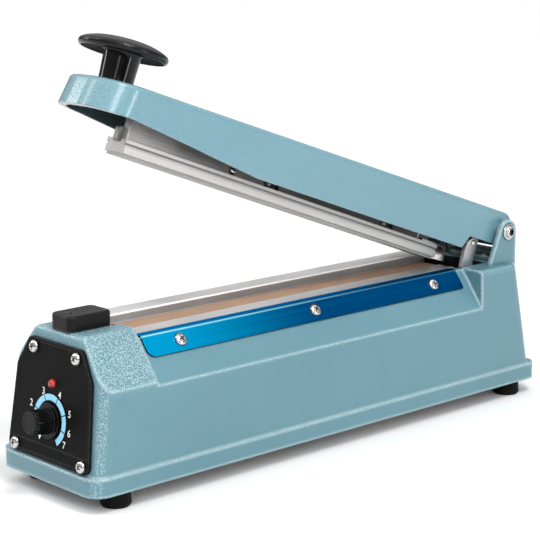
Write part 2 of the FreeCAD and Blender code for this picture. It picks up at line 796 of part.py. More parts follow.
def plate_screws():
    master = screw_master("plate_screw_master", S["plate_screw_radius"], 1.9, 1.0, 3.4)
    height = S["plate_screw_height"]
    spots = [base_place(x, -slope_face(height), height, slope_turn()) for x in plate_screw_rows]
    group("plate_screws", master, spots)


def control_panel():
    piece = Piece("control_panel")
    low, mid, top = [panel_height(S[name]) for name in ("panel_low", "panel_mid", "panel_top")]
    outline = mirrored((-S["panel_low_width"] / 2, low), (-S["panel_mid_width"] / 2, mid),
                       (-S["panel_top_width"] / 2, top))
    outer = -S["panel_thick"]
    piece.add("end", outline, outer, 0)
    face = outer.value + 0.01
    piece.soften("Fillet", 4.0, lambda b: b.XLength > S["panel_thick"].value - 0.01)
    piece.soften("Chamfer", 0.9, lambda b: b.XMax < face)
    half_rim = S["panel_mid_width"] / 2 - 4.5
    groove = panel_height(S["groove_height"])
    piece.cut("end", box(-half_rim, groove - 0.3, half_rim, groove + 0.3), outer - 1, outer + 0.4)
    piece.cut("end", circle(0, panel_height(S["dial_height"]), S["timer_shaft_radius"] + 0.5), outer - 1, 1)
    piece.cut("end", circle(0, panel_height(S["lamp_height"]), S["lamp_radius"] + 0.05), outer - 1, 1)
    piece.cut("end", both(*[circle(y, panel_height(z), 1.3) for y, z in panel_screw_spots]), outer - 1, 1)
    piece.place(panel_frame)
    screws = screw_master("panel_screw_master", S["panel_screw_radius"], 1.7, 1.2, 4.6)
    facing = FreeCAD.Rotation(V(0, 1, 0), -90)
    group("panel_screws", screws, [
        panel_frame.multiply(FreeCAD.Placement(V(outer.value, y.value, panel_height(z).value), facing))
        for y, z in panel_screw_spots])


def indicator_lamp():
    piece = Piece("indicator_lamp")
    radius = S["lamp_radius"]
    piece.turn("side", polygon((0, -6), (radius, -6), (radius, 0.9), (radius * 0.7, 1.7), (0, 2.1)))
    outer = -S["panel_thick"]
    local = FreeCAD.Placement(V(outer.value, 0, panel_height(S["lamp_height"]).value),
                              FreeCAD.Rotation(V(0, 1, 0), -90))
    piece.place(panel_frame.multiply(local))


def timer_place():
    outer = -S["panel_thick"]
    return panel_frame.multiply(FreeCAD.Placement(V(outer.value, 0, panel_height(S["dial_height"]).value),
                                                  FreeCAD.Rotation(V(0, 1, 0), -90)))


def dial_ring():
    piece = Piece("dial_ring")
    outer, inner = S["dial_radius"], S["dial_radius"] - S["dial_band"]
    piece.add("top", both(circle(0, 0, outer), circle(0, 0, inner)), 0, 0.15)
    reach = outer * 2
    start, end = math.radians(78.0), math.radians(-146.0)
    piece.cut("top", polygon((0, 0), (reach * math.cos(start), reach * math.sin(start)), (-reach, reach * 1.2),
                             (-reach, -reach * 0.6), (reach * math.cos(end), reach * math.sin(end))), -1, 1)
    piece.place(timer_place())


def timer_knob():
    piece = Piece("timer_knob")
    radius, flange = S["timer_knob_radius"], S["timer_flange_radius"]
    length = S["timer_knob_length"] - S["panel_thick"]
    piece.turn("side", polygon((0, 0.3), (flange, 0.3), (flange, 1.5), (flange * 0.86, 3.0), (radius + 0.7, 3.6),
                               (radius, length - 0.8), (radius - 0.8, length), (0, length)))
    flute = piece.cut("top", circle(radius + 0.75, 0, 1.0), 4.0, length + 1)
    pattern = piece.body.newObject("PartDesign::PolarPattern", "Flutes")
    pattern.Originals = [flute]
    pattern.Axis = (flute.Profile[0], ["N_Axis"])
    pattern.Angle = 360
    pattern.Occurrences = 12
    piece.body.Tip = pattern
    piece.feature = pattern
    piece.cut("top", circle(0, 0, S["timer_shaft_radius"] + 0.02), 0, length * 0.7)
    piece.place(timer_place())
    shaft = Piece("timer_shaft")
    shaft.add("top", circle(0, 0, S["timer_shaft_radius"]), -10, length * 0.7)
    shaft.place(timer_place())
    body = Piece("timer_potentiometer")
    body.add("top", circle(0, 0, 8.5), -14, -5.5)
    body.add("top", circle(0, 0, 4.6), -5.5, -S["panel_thick"])
    body.cut("top", circle(0, 0, S["timer_shaft_radius"] + 0.05), -10.5, 1)
    body.place(timer_place())


def circuit_board():
    piece = Piece("timer_circuit_board")
    start = front_face(base_top) + S["wall"]
    low = S["foot_height"] + S["base_plate_thick"]
    back, half = start + S["board_start_gap"], half_skirt - S["board_side_gap"]
    face, floor, ceiling = back + S["board_thick"], low + S["board_lift"], S["cavity_height"] - S["inner_top_gap"]
    piece.add("end", box(-half, floor, half, ceiling), back, face)
    tall = ceiling - floor
    for middle, level, width, deep in ((-0.62, 0.4, 0.2, 0.26), (0.0, 0.36, 0.15, 0.17), (0.58, 0.44, 0.23, 0.3)):
        y, z, reach = half * middle, low + tall * level, half * width
        piece.add("end", box(y - reach, z - reach, y + reach, z + reach), face, face + tall * deep)
    for y in (-half * 0.66, half * 0.66):
        piece.add("top", box(back - 2, y - 3, face + half / 2, y + 3), low, floor + 1)
    piece.place(base_place())


def transformer():
    core = Piece("transformer_core")
    low = S["foot_height"] + S["base_plate_thick"]
    length, height = S["core_length"], S["cavity_height"] - S["inner_top_gap"] - low
    start = S["rear_block_start"] - S["core_end_gap"] - length
    half, leg, limb = half_skirt - S["core_side_gap"], length * 0.18, length * 0.12
    middle = start + length / 2
    end, floor, ceiling = start + length, low + leg, low + height - leg
    core.add("side", box(start, low, end, low + height), -half, half)
    core.cut("side", both(box(start + leg, floor, middle - limb, ceiling),
                          box(middle + limb, floor, end - leg, ceiling)), -half - 1, half + 1)
    core.place(base_place())
    coil = Piece("transformer_coil")
    gap, reach = 0.4, half_skirt - S["coil_side_gap"]
    coil.add("top", rounded_box(start + leg + gap, -reach, end - leg - gap, reach, 4.0), floor + gap, ceiling - gap)
    coil.cut("top", box(middle - limb - gap, -half - gap, middle + limb + gap, half + gap), low, low + height)
    coil.place(base_place())
    feet = Piece("transformer_bracket")
    reach, back, thick = half * 0.87, start - gap, S["core_foot"] / 6
    feet.add("side", box(back - S["core_foot"], low, back, low + thick), -reach, reach)
    feet.add("side", box(back - thick, low, back, low + height / 2), -reach, reach)
    spots = [(back - S["core_foot"] * 0.55, y) for y in (-half / 2, half / 2)]
    feet.cut("top", both(*[circle(x, y, 1.5) for x, y in spots]), low - 1, low + thick + 1)
    feet.place(base_place())
    screw = screw_master("transformer_screw_master", 2.8, 1.6, 1.4, 2.0)
    group("transformer_screws", screw, [base_place(x, y, low + thick) for x, y in spots])


def switch_parts():
    block = Piece("switch_block")
    start, length = S["switch_block_start"], S["switch_block_length"]
    half = S["switch_block_width"] / 2
    top = S["switch_block_top"]
    block.add("top", rounded_box(start, -half, start + length, half, 3.6), S["ridge_height"], top)
    edge = top.value - 0.01
    block.soften("Fillet", 1.4, lambda b: b.ZMin > edge)
    block.cut("top", circle(S["switch_hole_x"], 0, S["switch_hole_radius"]), S["ridge_height"] - 1, top + 1)
    block.place(base_place())
    plunger = Piece("switch_plunger")
    crown = S["ridge_height"] - S["wall"]
    plunger.add("top", circle(S["switch_hole_x"], 0, S["plunger_radius"]), crown - 3, top - 2.4)
    plunger.add("top", circle(S["switch_hole_x"], 0, S["plunger_radius"] + 1.7), crown - 3, crown - 1.6)
    plunger.place(base_place())
    spring = Piece("plunger_spring")
    micro_top = crown - 3 - S["plunger_travel"] - 1.0
    spring.add("top", both(circle(S["switch_hole_x"], 0, 2.6), circle(S["switch_hole_x"], 0, 1.8)),
               micro_top, crown - 3)
    spring.place(base_place())
    micro = Piece("micro_switch")
    micro.add("top", box(S["switch_hole_x"] - 3.9, -10, S["switch_hole_x"] + 6, 10), micro_top - 12, micro_top)
    micro.cut("side", both(circle(S["switch_hole_x"], micro_top - 8, 1.2)), -11, 11)
    micro.place(base_place())


def hinge_bracket():
    piece = Piece("hinge_bracket")
    seat = S["rear_block_height"]
    x, z, radius = S["pivot_x"], S["pivot_height"], S["ear_radius"]
    foot = polygon((S["ear_foot_start"], seat), (S["ear_foot_end"], seat), (x + radius, z),
                   (x - radius * 0.92, z + radius * 0.4))
    outer, inner = S["ear_face"], S["ear_face"] - S["ear_thick"]
    for low, high in ((-outer, -inner), (inner, outer)):
        piece.add("side", foot, low, high)
        piece.add("side", circle(x, z, radius), low, high)
        if low.value < 0:
            end, thick = S["ear_foot_end"], S["bridge_thick"]
            piece.add("side", polygon((S["bridge_start"], seat), (end, seat), (end, seat + S["bridge_wall_rise"]),
                                      (end - thick, seat + S["bridge_wall_rise"]), (end - thick, seat + thick),
                                      (S["bridge_start"], seat + thick)), -inner, inner)
    piece.cut("side", circle(x, z, S["pivot_radius"] + 0.1), -outer - 1, outer + 1)
    bridge_x = S["bridge_start"] + S["bridge_screw_inset"]
    piece.cut("top", both(circle(bridge_x, -S["bridge_screw_spread"], 1.5),
                          circle(bridge_x, S["bridge_screw_spread"], 1.5)), seat - 1, seat + S["bridge_thick"] + 1)
    piece.place(base_place())


def hinge_fasteners():
    x, z, radius = S["pivot_x"], S["pivot_height"], S["pivot_radius"]
    spot = base_place(x, 0, z)
    outer, inner = S["ear_face"], S["ear_face"] - S["ear_thick"]
    head = S["bolt_head_radius"]
    bolt = Piece("hinge_bolt")
    bolt.turn("top", polygon((0, outer + 5.5), (radius, outer + 5.5), (radius, -outer), (head, -outer),
                             (head, -outer - 1.0), (head * 0.85, -outer - 2.2), (head * 0.5, -outer - 3.0),
                             (0, -outer - 3.0)))
    bolt.cut("side", hexagon(1.7), -outer - 4, -outer - 1.4)
    bolt.place(spot)
    nut = Piece("hinge_nut")
    nut.add("side", both(hexagon(4.6), circle(0, 0, radius)), outer, outer + 4)
    nut.place(spot)
    bush = Piece("bush_master")
    bush.add("side", both(circle(0, 0, head), circle(0, 0, radius)), 0, inner - S["arm_half_width"] - 0.4)
    sides = [base_place(x, y, z) for y in (S["arm_half_width"] + 0.2, -inner + 0.2)]
    group("hinge_bushes", bush.body, sides)
    master = screw_master("bridge_screw_master", 3.0, 1.8, 1.5, 8.0)
    bridge_x = S["bridge_start"] + S["bridge_screw_inset"]
    top = S["rear_block_height"] + S["bridge_thick"]
    group("bridge_screws", master, [base_place(bridge_x, y, top)
                                    for y in (-S["bridge_screw_spread"], S["bridge_screw_spread"])])


def hexagon(radius):
    corners = [(radius * math.cos(math.pi * k / 3), radius * math.sin(math.pi * k / 3)) for k in range(6)]
    return polygon(*corners)


def stop_bracket():
    """Two thin folded layers that stand in the well beside the rear end of the press bar."""
    start = S["rear_block_start"] + 1.0
    floor = S["cavity_height"] + S["wall"]
    thick, seat = S["bracket_thick"], S["rear_block_height"]
    half = S["well_width"] / 2 - 0.6
    for label, reach, foot in (("stop_bracket_outer", half, floor),
                               ("stop_bracket_inner", half - thick, floor + thick)):
        piece = Piece(label)
        outline = polygon((start, foot), (start, seat + 0.5), (start + 2.8, seat + 10.3),
                          (start + 5.0, seat + 14.5), (start + 9.0, seat + 16.0), (start + 13.5, seat + 16.0),
                          (start + 13.9, seat + 13.5), (start + 9.5, seat + 1.4), (start + 9.5, foot))
        piece.add("side", box(start, foot, start + 9.5, foot + thick), -reach, reach)
        for low in (-reach, reach - thick):
            piece.add("side", outline, low, low + thick)
        piece.cut("side", circle(start + 9.7, seat + 13, 1.0), -reach - 1, reach + 1)
        piece.place(base_place())
    rivet = Piece("rivet_master")
    rivet.turn("top", polygon((0, 0), (1.9, 0), (1.6, -0.7), (0.8, -1.0), (0, -1.0)))
    rivet.turn("top", polygon((0, 0), (1.0, 0), (1.0, thick * 2), (0, thick * 2)))
    x, z = start + 9.7, seat + 13
    group("bracket_rivets", rivet.body, [base_place(x, -half, z),
                                         base_place(x, half, z, FreeCAD.Rotation(V(1, 0, 0), 180))])


def return_spring():
    """Coil about the hinge sleeve: the lower leg stands on the housing, the upper one lifts the arm."""
    x, z = S["pivot_x"], S["pivot_height"]
    inner, wire = S["sleeve_radius"] + 0.8, S["spring_wire"]
    coil = Piece("return_spring")
    coil.add("side", both(circle(x, z, inner + wire * 2), circle(x, z, inner)), 3, 15)
    coil.add("top", circle(x - inner - wire, 14.0, wire), S["rear_block_height"], z)
    coil.place(base_place())
    leg = Piece("return_spring_leg")
    height = inner + wire * 3 + 0.3
    leg.add("end", circle(3.9, height, wire), -24, 0)
    leg.place(arm_frame)


def cord_gland():
    """Strain relief in the rear wall that the supply cord passes through."""
    piece = Piece("cord_gland")
    height = S["gland_height"]
    rear = rear_face(height)
    wall = S["wall"]
    bore = S["gland_bore"]
    radius = S["gland_radius"]
    piece.add("end", both(circle(0, height, radius), circle(0, height, bore)), rear - wall - 4, rear + 6.5)
    piece.add("end", both(circle(0, height, radius + 2), circle(0, height, radius - 1)), rear + 1.5, rear + 3.5)
    piece.place(base_place())


def arm_shell():
    piece = Piece("arm_shell")
    half, top, wall = S["arm_half_width"], S["arm_top"], S["arm_wall"]
    nose, tail = -S["arm_length"], S["arm_tail"]
    crown = nose + S["nose_lean"] * 0.6
    piece.add("side", polygon(
        (crown, top), (nose, top - S["rim_nose_depth"]), (-S["rim_flat_end"], top - S["rim_flat_depth"]),
        (-S["rim_slope_end"], top - S["rim_slope_depth"]), (-88, top - S["rim_deep_depth"] + 0.7),
        (-S["rim_notch_start"], top - S["rim_deep_depth"]), (-S["rim_notch_end"], top - S["rim_tail_depth"]),
        (tail, top - S["rim_tail_depth"]), (tail, top)), -half, half)
    front = nose.value + S["nose_lean"].value
    piece.soften("Fillet", S["nose_radius"], lambda b: b.XMax < front and b.ZLength > 9)
    crest = top.value - 0.01
    piece.soften("Fillet", S["arm_tail_radius"], lambda b: b.ZMin > crest and b.XMin > tail.value - 0.01)
    piece.soften("Fillet", S["arm_edge_radius"], lambda b: b.ZMin > crest and b.XLength > 0.5)
    inside = half - wall
    bend_start = tail - S["arm_tail_radius"]
    piece.cut("top", rounded_box(nose + wall + S["nose_lean"] * 0.53, -inside, bend_start, inside,
                                 S["nose_radius"] - wall, corners=(1, 0, 0, 1)), top - 60, top - wall)
    piece.cut("side", rounded_box(bend_start - 2, top - 60, tail - wall, top - wall,
                                  S["arm_tail_radius"] - wall, corners=(0, 0, 1, 0)), -inside, inside)
    piece.cut("side", circle(0, 0, S["pivot_radius"] + S["pivot_fit"]), -half - 1, half + 1)
    piece.cut("top", circle(-S["handle_x"], 0, S["stud_radius"] + 0.1), top - wall - 1, top + 1)
    pilots = [circle(x + side * S["guide_screw_reach"], 0, 1.0) for x in guide_axes for side in (-1, 1)]
    piece.cut("top", both(*pilots), top - wall - 1, top - wall + 1.2)
    piece.place(arm_frame)


def handle():
    crown = S["arm_top"]
    spot = arm_frame.multiply(FreeCAD.Placement(V(-S["handle_x"].value, 0, crown.value), FreeCAD.Rotation()))
    knob = Piece("handle_knob")
    stem, neck, cap = S["handle_stem_radius"], S["handle_neck_radius"], S["handle_cap_radius"]
    rim, dome, stud = S["handle_stem_length"], S["handle_cap_height"], S["stud_radius"]
    knob.turn("side", polygon(
        (stud + 0.05, 0), (stem, 0), (neck, rim * 0.82), (neck + 1.4, rim + 1.4), (neck + 5, rim + 2.2),
        (cap - 2.4, rim + 0.2), (cap - 1.0, rim - 0.3), (cap - 0.1, rim + 0.9), (cap, rim + 2.0),
        (cap - 0.7, rim + dome * 0.45), (cap * 0.84, rim + dome * 0.66), (cap * 0.6, rim + dome * 0.86),
        (cap * 0.3, rim + dome * 0.97), (0, rim + dome), (0, rim), (stud + 0.05, rim)))
    knob.place(spot)
    piece = Piece("knob_stud")
    wall = S["arm_wall"]
    piece.add("top", circle(0, 0, stud), -wall, rim - 0.5)
    piece.add("top", hexagon(5.0), -wall - 3.2, -wall)
    piece.place(spot)


def bar_guides():
    """Two tubes under the arm in which the posts of the press bar slide."""
    ceiling = S["arm_top"] - S["arm_wall"]
    low = ceiling - S["guide_length"]
    bore, reach = S["post_radius"] + S["pivot_fit"], S["guide_screw_reach"]
    tube = Piece("guide_master")
    tube.add("top", both(rounded_box(-reach - 3, -6, reach + 3, 6, 2.5), circle(-reach, 0, 1.05),
                         circle(reach, 0, 1.05), circle(0, 0, bore)), ceiling - 1.5, ceiling)
    tube.add("top", both(circle(0, 0, bore + 1.3), circle(0, 0, bore)), low, ceiling - 1.5)
    group("bar_guides", tube.body, [arm_frame.multiply(FreeCAD.Placement(V(x.value, 0, 0), FreeCAD.Rotation()))
                                    for x in guide_axes])
    screw = Piece("guide_screw_master")
    screw.add("top", circle(0, 0, 2.0), ceiling - 2.9, ceiling - 1.5)
    screw.add("top", circle(0, 0, 1.0), ceiling - 1.5, ceiling + 1.1)
    group("guide_screws", screw.body, [
        arm_frame.multiply(FreeCAD.Placement(V((x + reach * side).value, 0, 0), FreeCAD.Rotation()))
        for x in guide_axes for side in (-1, 1)])
    post = Piece("post_master")
    post.add("top", circle(0, 0, S["post_radius"]), -2.6, ceiling - S["bar_travel"] - S["fit_gap"]
             - bar_crown(guide_axes[0]))
    group("bar_posts", post.body, [
        arm_frame.multiply(FreeCAD.Placement(V(x.value, 0, bar_crown(x).value), FreeCAD.Rotation()))
        for x in guide_axes])
    for x, end in zip(guide_axes, ("front", "rear")):
        coil = Piece("bar_spring_" + end)
        coil.add("top", both(circle(x, 0, bore + 2.9), circle(x, 0, bore + 1.7)), bar_crown(x) + 0.2,
                 ceiling - 1.7)
        coil.place(arm_frame)


def switch_pin():
    """Pin in the nose that reaches the plunger once the bar has closed on the bed."""
    piece = Piece("switch_pin")
    x = S["switch_hole_x"] - S["pivot_x"]
    ceiling = S["arm_top"] - S["arm_wall"]
    piece.add("top", circle(x, 0, 1.2), S["switch_pin_tip"], ceiling)
    piece.add("top", circle(x, 0, 3.0), ceiling - 2.0, ceiling)
    piece.place(arm_frame)
    sleeve = Piece("arm_sleeve")
    reach = S["arm_half_width"] - S["arm_wall"]
    sleeve.add("side", both(circle(0, 0, S["sleeve_radius"]), circle(0, 0, S["pivot_radius"] + S["pivot_fit"])),
               -reach, reach)
    sleeve.place(arm_frame)


def press_bar():
    length, half = S["bar_length"], S["bar_width"] / 2
    low = S["silicone_thick"]
    high = low + S["bar_height"]
    strip = Piece("silicone_strip")
    pad = S["silicone_width"] / 2
    strip.add("end", box(-pad, 0, pad, low), 0, length)
    strip.place(bar_frame)
    bar = Piece("press_bar")
    groove, deep = low + S["bar_height"] * 0.6, 0.8
    slot = S["web_thick"] / 2
    seat = high - 1.5
    bar.add("end", polygon(
        (-half, low), (half, low), (half, groove - 0.6), (half - deep, groove - 0.6), (half - deep, groove + 0.6),
        (half, groove + 0.6), (half, high), (slot, high), (slot, seat), (-slot, seat), (-slot, high),
        (-half, high), (-half, groove + 0.6), (-half + deep, groove + 0.6), (-half + deep, groove - 0.6),
        (-half, groove - 0.6)), 0, length)
    holes = [circle(bar_reach(x), 0, S["post_radius"] + 0.15) for x in guide_axes]
    bar.cut("top", both(*holes), high - 3, high + 1)
    bar.add("side", rounded_box(2, high - 1, 6, high + 6.5, 1.6, corners=(0, 0, 1, 1)), slot + 0.4, half - 1.2)
    bar.place(bar_frame)
    crest = seat + S["web_height"]
    notch = S["post_radius"] + S["pivot_fit"] + 3.6
    gaps = [bar_reach(x) for x in guide_axes]
    spans = ((S["web_start"], gaps[0] - notch), (gaps[0] + notch, gaps[1] - notch), (gaps[1] + notch, length - 14))
    spots = [(S["web_screw_x"], high + S["web_screw_height"])]
    for index, (start, end) in enumerate(spans):
        web = Piece(("web_front", "web_middle", "web_rear")[index])
        web.add("side", box(start, seat, end, crest), -slot, slot)
        if index < len(spots):
            web.cut("side", circle(spots[index][0], spots[index][1], 1.2), -slot - 1, slot + 1)
        web.place(bar_frame)
    screw = screw_master("web_screw_master", 2.3, 1.4, 1.2, S["web_thick"])
    facing = FreeCAD.Rotation(V(1, 0, 0), 90)
    group("web_screws", screw, [bar_frame.multiply(FreeCAD.Placement(
        V(as_size(x).value, -slot.value, z.value), facing)) for x, z in spots])
    hook = Piece("bar_end_bracket")
    reach = S["bar_hook_reach"]
    hook.add("side", bend(length - 12, length + reach, high + 1.2, 0.8, 6.0, 1.2), -5.5, 5.5)
    hook.place(bar_frame)


def write_parts():
    os.makedirs("parts", exist_ok=True)
    doc.recompute()
    for item in doc.Objects:
        bad = [state for state in item.State if state in ("Invalid", "Error")]
        if bad:
            raise RuntimeError("%s is %s" % (item.Label, bad))
    for item in pieces:
        shape = item.Shape
        if shape.isNull() or not shape.isValid():
            raise RuntimeError(item.Label + " has no valid shape")
        shape.exportStep("parts/%s.step" % item.Label)


base_housing()
base_plate()
rubber_feet()
heating_bed()
seal_line()
bed_ends()
cover_plate()
plate_screws()
control_panel()
indicator_lamp()
dial_ring()
timer_knob()
circuit_board()
transformer()
switch_parts()
hinge_bracket()
hinge_fasteners()
stop_bracket()
return_spring()
cord_gland()
arm_shell()
handle()
bar_guides()
switch_pin()
press_bar()
write_parts()
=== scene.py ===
import math

import bmesh
import bpy
from mathutils import Matrix, Vector


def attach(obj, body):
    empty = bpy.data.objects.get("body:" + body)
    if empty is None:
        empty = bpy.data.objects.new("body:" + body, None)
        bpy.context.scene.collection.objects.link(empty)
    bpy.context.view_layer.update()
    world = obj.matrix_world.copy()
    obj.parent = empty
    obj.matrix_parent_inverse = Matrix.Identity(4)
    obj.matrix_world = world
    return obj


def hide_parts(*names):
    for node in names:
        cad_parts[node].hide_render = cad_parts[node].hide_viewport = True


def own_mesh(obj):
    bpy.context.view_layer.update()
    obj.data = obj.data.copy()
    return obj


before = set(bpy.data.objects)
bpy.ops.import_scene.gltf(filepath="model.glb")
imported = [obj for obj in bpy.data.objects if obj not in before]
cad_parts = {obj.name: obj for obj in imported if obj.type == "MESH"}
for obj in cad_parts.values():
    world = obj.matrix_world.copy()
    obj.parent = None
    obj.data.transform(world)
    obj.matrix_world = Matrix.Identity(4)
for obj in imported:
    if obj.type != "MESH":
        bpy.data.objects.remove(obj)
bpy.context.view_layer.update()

# Studio: a pale table top that runs into a white surround, lit by one softbox from above and by panels
# that show as highlights on the arm's nose and the handle's stem. The camera stands at the front left
# corner of the machine, a little above its handle.


def in_scene(name, data):
    """A new object in the scene."""
    item = bpy.data.objects.new(name, data)
    bpy.context.scene.collection.objects.link(item)
    return item


def feed(tree, socket, value):
    """Links a socket to another node's output, or sets it to a number."""
    if isinstance(value, bpy.types.NodeSocket):
        tree.links.new(value, socket)
    else:
        socket.default_value = value


def spread(tree, value, low, high, start, end, smooth=True):
    """Maps low..high onto start..end and holds it there. Each limit is a number or an output."""
    node = tree.nodes.new("ShaderNodeMapRange")
    node.interpolation_type = "SMOOTHSTEP" if smooth else "LINEAR"
    tree.links.new(value, node.inputs["Value"])
    for label, limit in (("From Min", low), ("From Max", high), ("To Min", start), ("To Max", end)):
        feed(tree, node.inputs[label], limit)
    return node.outputs["Result"]


def axes(tree, vector):
    """The X, Y and Z of a vector."""
    node = tree.nodes.new("ShaderNodeSeparateXYZ")
    tree.links.new(vector, node.inputs["Vector"])
    return node.outputs


def object_place(tree):
    return tree.nodes.new("ShaderNodeTexCoord").outputs["Object"]


yaw, pitch, roll = math.radians(42.802), math.radians(12.076), math.radians(0.067)
back = Vector((-math.sin(yaw) * math.cos(pitch), -math.cos(yaw) * math.cos(pitch), math.sin(pitch)))
level = Vector((0, 0, 1)).cross(back).normalized()
upright = back.cross(level)
right = level * math.cos(roll) + upright * math.sin(roll)
top = upright * math.cos(roll) - level * math.sin(roll)
lens = bpy.data.cameras.new("photo_lens")
lens.lens = 119.3
lens.sensor_width = 36.0
lens.clip_start = 0.05
camera_place = Matrix.Translation((-0.65008, -0.69005, 0.29453))
camera = in_scene("photo_camera", lens)
camera.matrix_world = camera_place @ Matrix((right, top, back)).transposed().to_4x4()
bpy.context.scene.camera = camera

world = bpy.data.worlds.new("white_surround")
world.use_nodes = True
sky = world.node_tree.nodes["Background"]
sky.inputs["Color"].default_value = (1, 1, 1, 1)
heading = axes(world.node_tree, world.node_tree.nodes.new("ShaderNodeTexCoord").outputs["Generated"])
seen = world.node_tree.nodes.new("ShaderNodeLightPath").outputs["Is Camera Ray"]
dome = spread(world.node_tree, heading["Z"], 0.0, 1.0, start=0.12, end=1.52, smooth=False)
glow = spread(world.node_tree, seen, 0.0, 1.0, start=dome, end=1.0, smooth=False)
world.node_tree.links.new(glow, sky.inputs["Strength"])
bpy.context.scene.world = world
bpy.context.scene.view_settings.view_transform = "Standard"


def softbox(name, place, aim, size, power):
    light = bpy.data.lights.new(name, "AREA")
    light.shape = "RECTANGLE"
    light.size, light.size_y = size
    light.energy = power
    lamp = in_scene(name, light)
    lamp.location = place
    lamp.rotation_euler = (Vector(aim) - Vector(place)).to_track_quat("-Z", "Y").to_euler()


softbox("top_softbox", place=(-0.12, -0.62, 1.25), aim=(-0.08, 0, 0.08), size=(0.30, 0.30), power=8.0)
softbox("corner_softbox", place=(-1.02, -0.82, 0.62), aim=(-0.12, 0, 0.08), size=(0.16, 0.34), power=0.9)
softbox("nose_panel_left", place=(-0.84, 0.52, 0.99), aim=(-0.12, 0, 0.2), size=(0.26, 0.60), power=2.7)
softbox("nose_panel_right", place=(-0.45, -0.81, 0.69), aim=(-0.12, 0, 0.2), size=(0.22, 0.50), power=3.2)
softbox("stem_strip_right", place=(0.25, -1.28, 0.26), aim=(-0.12, 0, 0.22), size=(0.12, 0.60), power=3.2)
softbox("stem_strip_left", place=(-0.57, 0.85, 0.49), aim=(-0.12, 0, 0.22), size=(0.12, 0.50), power=2.0)


def new_material(name, color, roughness, metallic=0.0, specular=0.5):
    material = bpy.data.materials.new(name)
    material.use_nodes = True
    shader = material.node_tree.nodes["Principled BSDF"]
    shader.inputs["Base Color"].default_value = (*color, 1)
    shader.inputs["Roughness"].default_value = roughness
    shader.inputs["Metallic"].default_value = metallic
    shader.inputs["Specular IOR Level"].default_value = specular
    return material, material.node_tree, shader


table_finish, tree, shader = new_material("pale_table", (0.93, 0.93, 0.92), 0.8, specular=0.2)
distance = tree.nodes.new("ShaderNodeVectorMath")
distance.operation = "LENGTH"
tree.links.new(object_place(tree), distance.inputs[0])
paler = spread(tree, distance.outputs["Value"], low=0.30, high=1.50, start=0.76, end=0.96, smooth=False)
tree.links.new(paler, shader.inputs["Base Color"])
cloud = tree.nodes.new("ShaderNodeTexNoise")
cloud.inputs["Scale"].default_value = 2.0
satin = spread(tree, cloud.outputs["Fac"], 0.0, 1.0, start=0.78, end=0.82, smooth=False)
tree.links.new(satin, shader.inputs["Roughness"])
sheet = bmesh.new()
bmesh.ops.create_grid(sheet, x_segments=8, y_segments=8, size=4.0)
table_mesh = bpy.data.meshes.new("table_top")
sheet.to_mesh(table_mesh)
sheet.free()
table_mesh.materials.append(table_finish)
table = in_scene("table_top", table_mesh)
table.location.z = -0.0002

# Housing, hinge bracket and arm: cast and folded metal under one coat of teal hammered enamel.
# The enamel lies thick and pimpled at the front and thins out towards the hinge. Its edges pale with wear
# and a painted highlight, and the tops of its thick pimples carry a painted highlight.
# The housing and the bracket are copies of their solids' meshes with a few corners moved.
mm = 0.001


def place_at(x, y, z, *turns):
    """A place in millimetres, turned about its own axes in order."""
    place = Matrix.Translation((x * mm, y * mm, z * mm))
    for axis, angle in turns:
        place = place @ Matrix.Rotation(math.radians(angle), 4, axis)
    return place


arm_place = place_at(151.84, 0, 97.3, ("Y", 19.04))


def effect(name, inputs, outputs):
    """An empty node group with float inputs and the outputs that it must fill."""
    group = bpy.data.node_groups.new(name, "ShaderNodeTree")
    for label, value in inputs.items():
        socket = group.interface.new_socket(label, in_out="INPUT", socket_type="NodeSocketFloat")
        socket.default_value = value
    for label in outputs:
        group.interface.new_socket(label, in_out="OUTPUT", socket_type="NodeSocketFloat")
    return group, group.nodes.new("NodeGroupInput").outputs, group.nodes.new("NodeGroupOutput").inputs


def calculate(tree, kind, *values):
    """A Math node fed by outputs or numbers."""
    node = tree.nodes.new("ShaderNodeMath")
    node.operation = kind
    for socket, value in zip(node.inputs, values):
        feed(tree, socket, value)
    return node.outputs["Value"]


def rises(tree, value, low, high, most=1.0):
    """A mask that is 0 below the first limit and full above the second."""
    return spread(tree, value, low, high, 0.0, most)


def falls(tree, value, low, high, most=1.0):
    """A mask that is full below the first limit and 0 above the second."""
    return spread(tree, value, low, high, most, 0.0)


def overlap(tree, *masks):
    """The masks multiplied together."""
    result = masks[0]
    for mask in masks[1:]:
        result = calculate(tree, "MULTIPLY", result, mask)
    return result


def noise(tree, vector, scale, detail=2.0):
    node = tree.nodes.new("ShaderNodeTexNoise")
    tree.links.new(vector, node.inputs["Vector"])
    feed(tree, node.inputs["Scale"], scale)
    node.inputs["Detail"].default_value = detail
    return node.outputs["Fac"]


pimple_inputs = {"Scale": 1300.0, "Front": -0.121, "Back": -0.118, "Low": 0.054, "High": 0.060,
                 "Least": 0.32}
pimples, given, out = effect("EnamelPimples", pimple_inputs, ("Height", "Tone", "PaintedGlint"))
where = object_place(pimples)
spot = axes(pimples, where)
blobs = noise(pimples, where, given["Scale"], detail=1.0)
drops = rises(pimples, blobs, 0.40, 0.60)
glint_spots = rises(pimples, blobs, 0.46, 0.57)
orange_peel = noise(pimples, where, scale=1300.0)
near_front = falls(pimples, spot["X"], given["Front"], given["Back"])
high_up = rises(pimples, spot["Z"], given["Low"], given["High"])
facing = pimples.nodes.new("ShaderNodeVectorTransform")
facing.vector_type = "NORMAL"
facing.convert_from = "WORLD"
facing.convert_to = "OBJECT"
pimples.links.new(pimples.nodes.new("ShaderNodeNewGeometry").outputs["Normal"], facing.inputs["Vector"])
lean = axes(pimples, facing.outputs["Vector"])
corner_turn = calculate(pimples, "ABSOLUTE", overlap(pimples, lean["X"], lean["Y"]))
upright_corner = rises(pimples, corner_turn, 0.30, 0.47, most=0.8)
sloping = spread(pimples, lean["Z"], 0.30, 0.50, start=0.25, end=1.0)
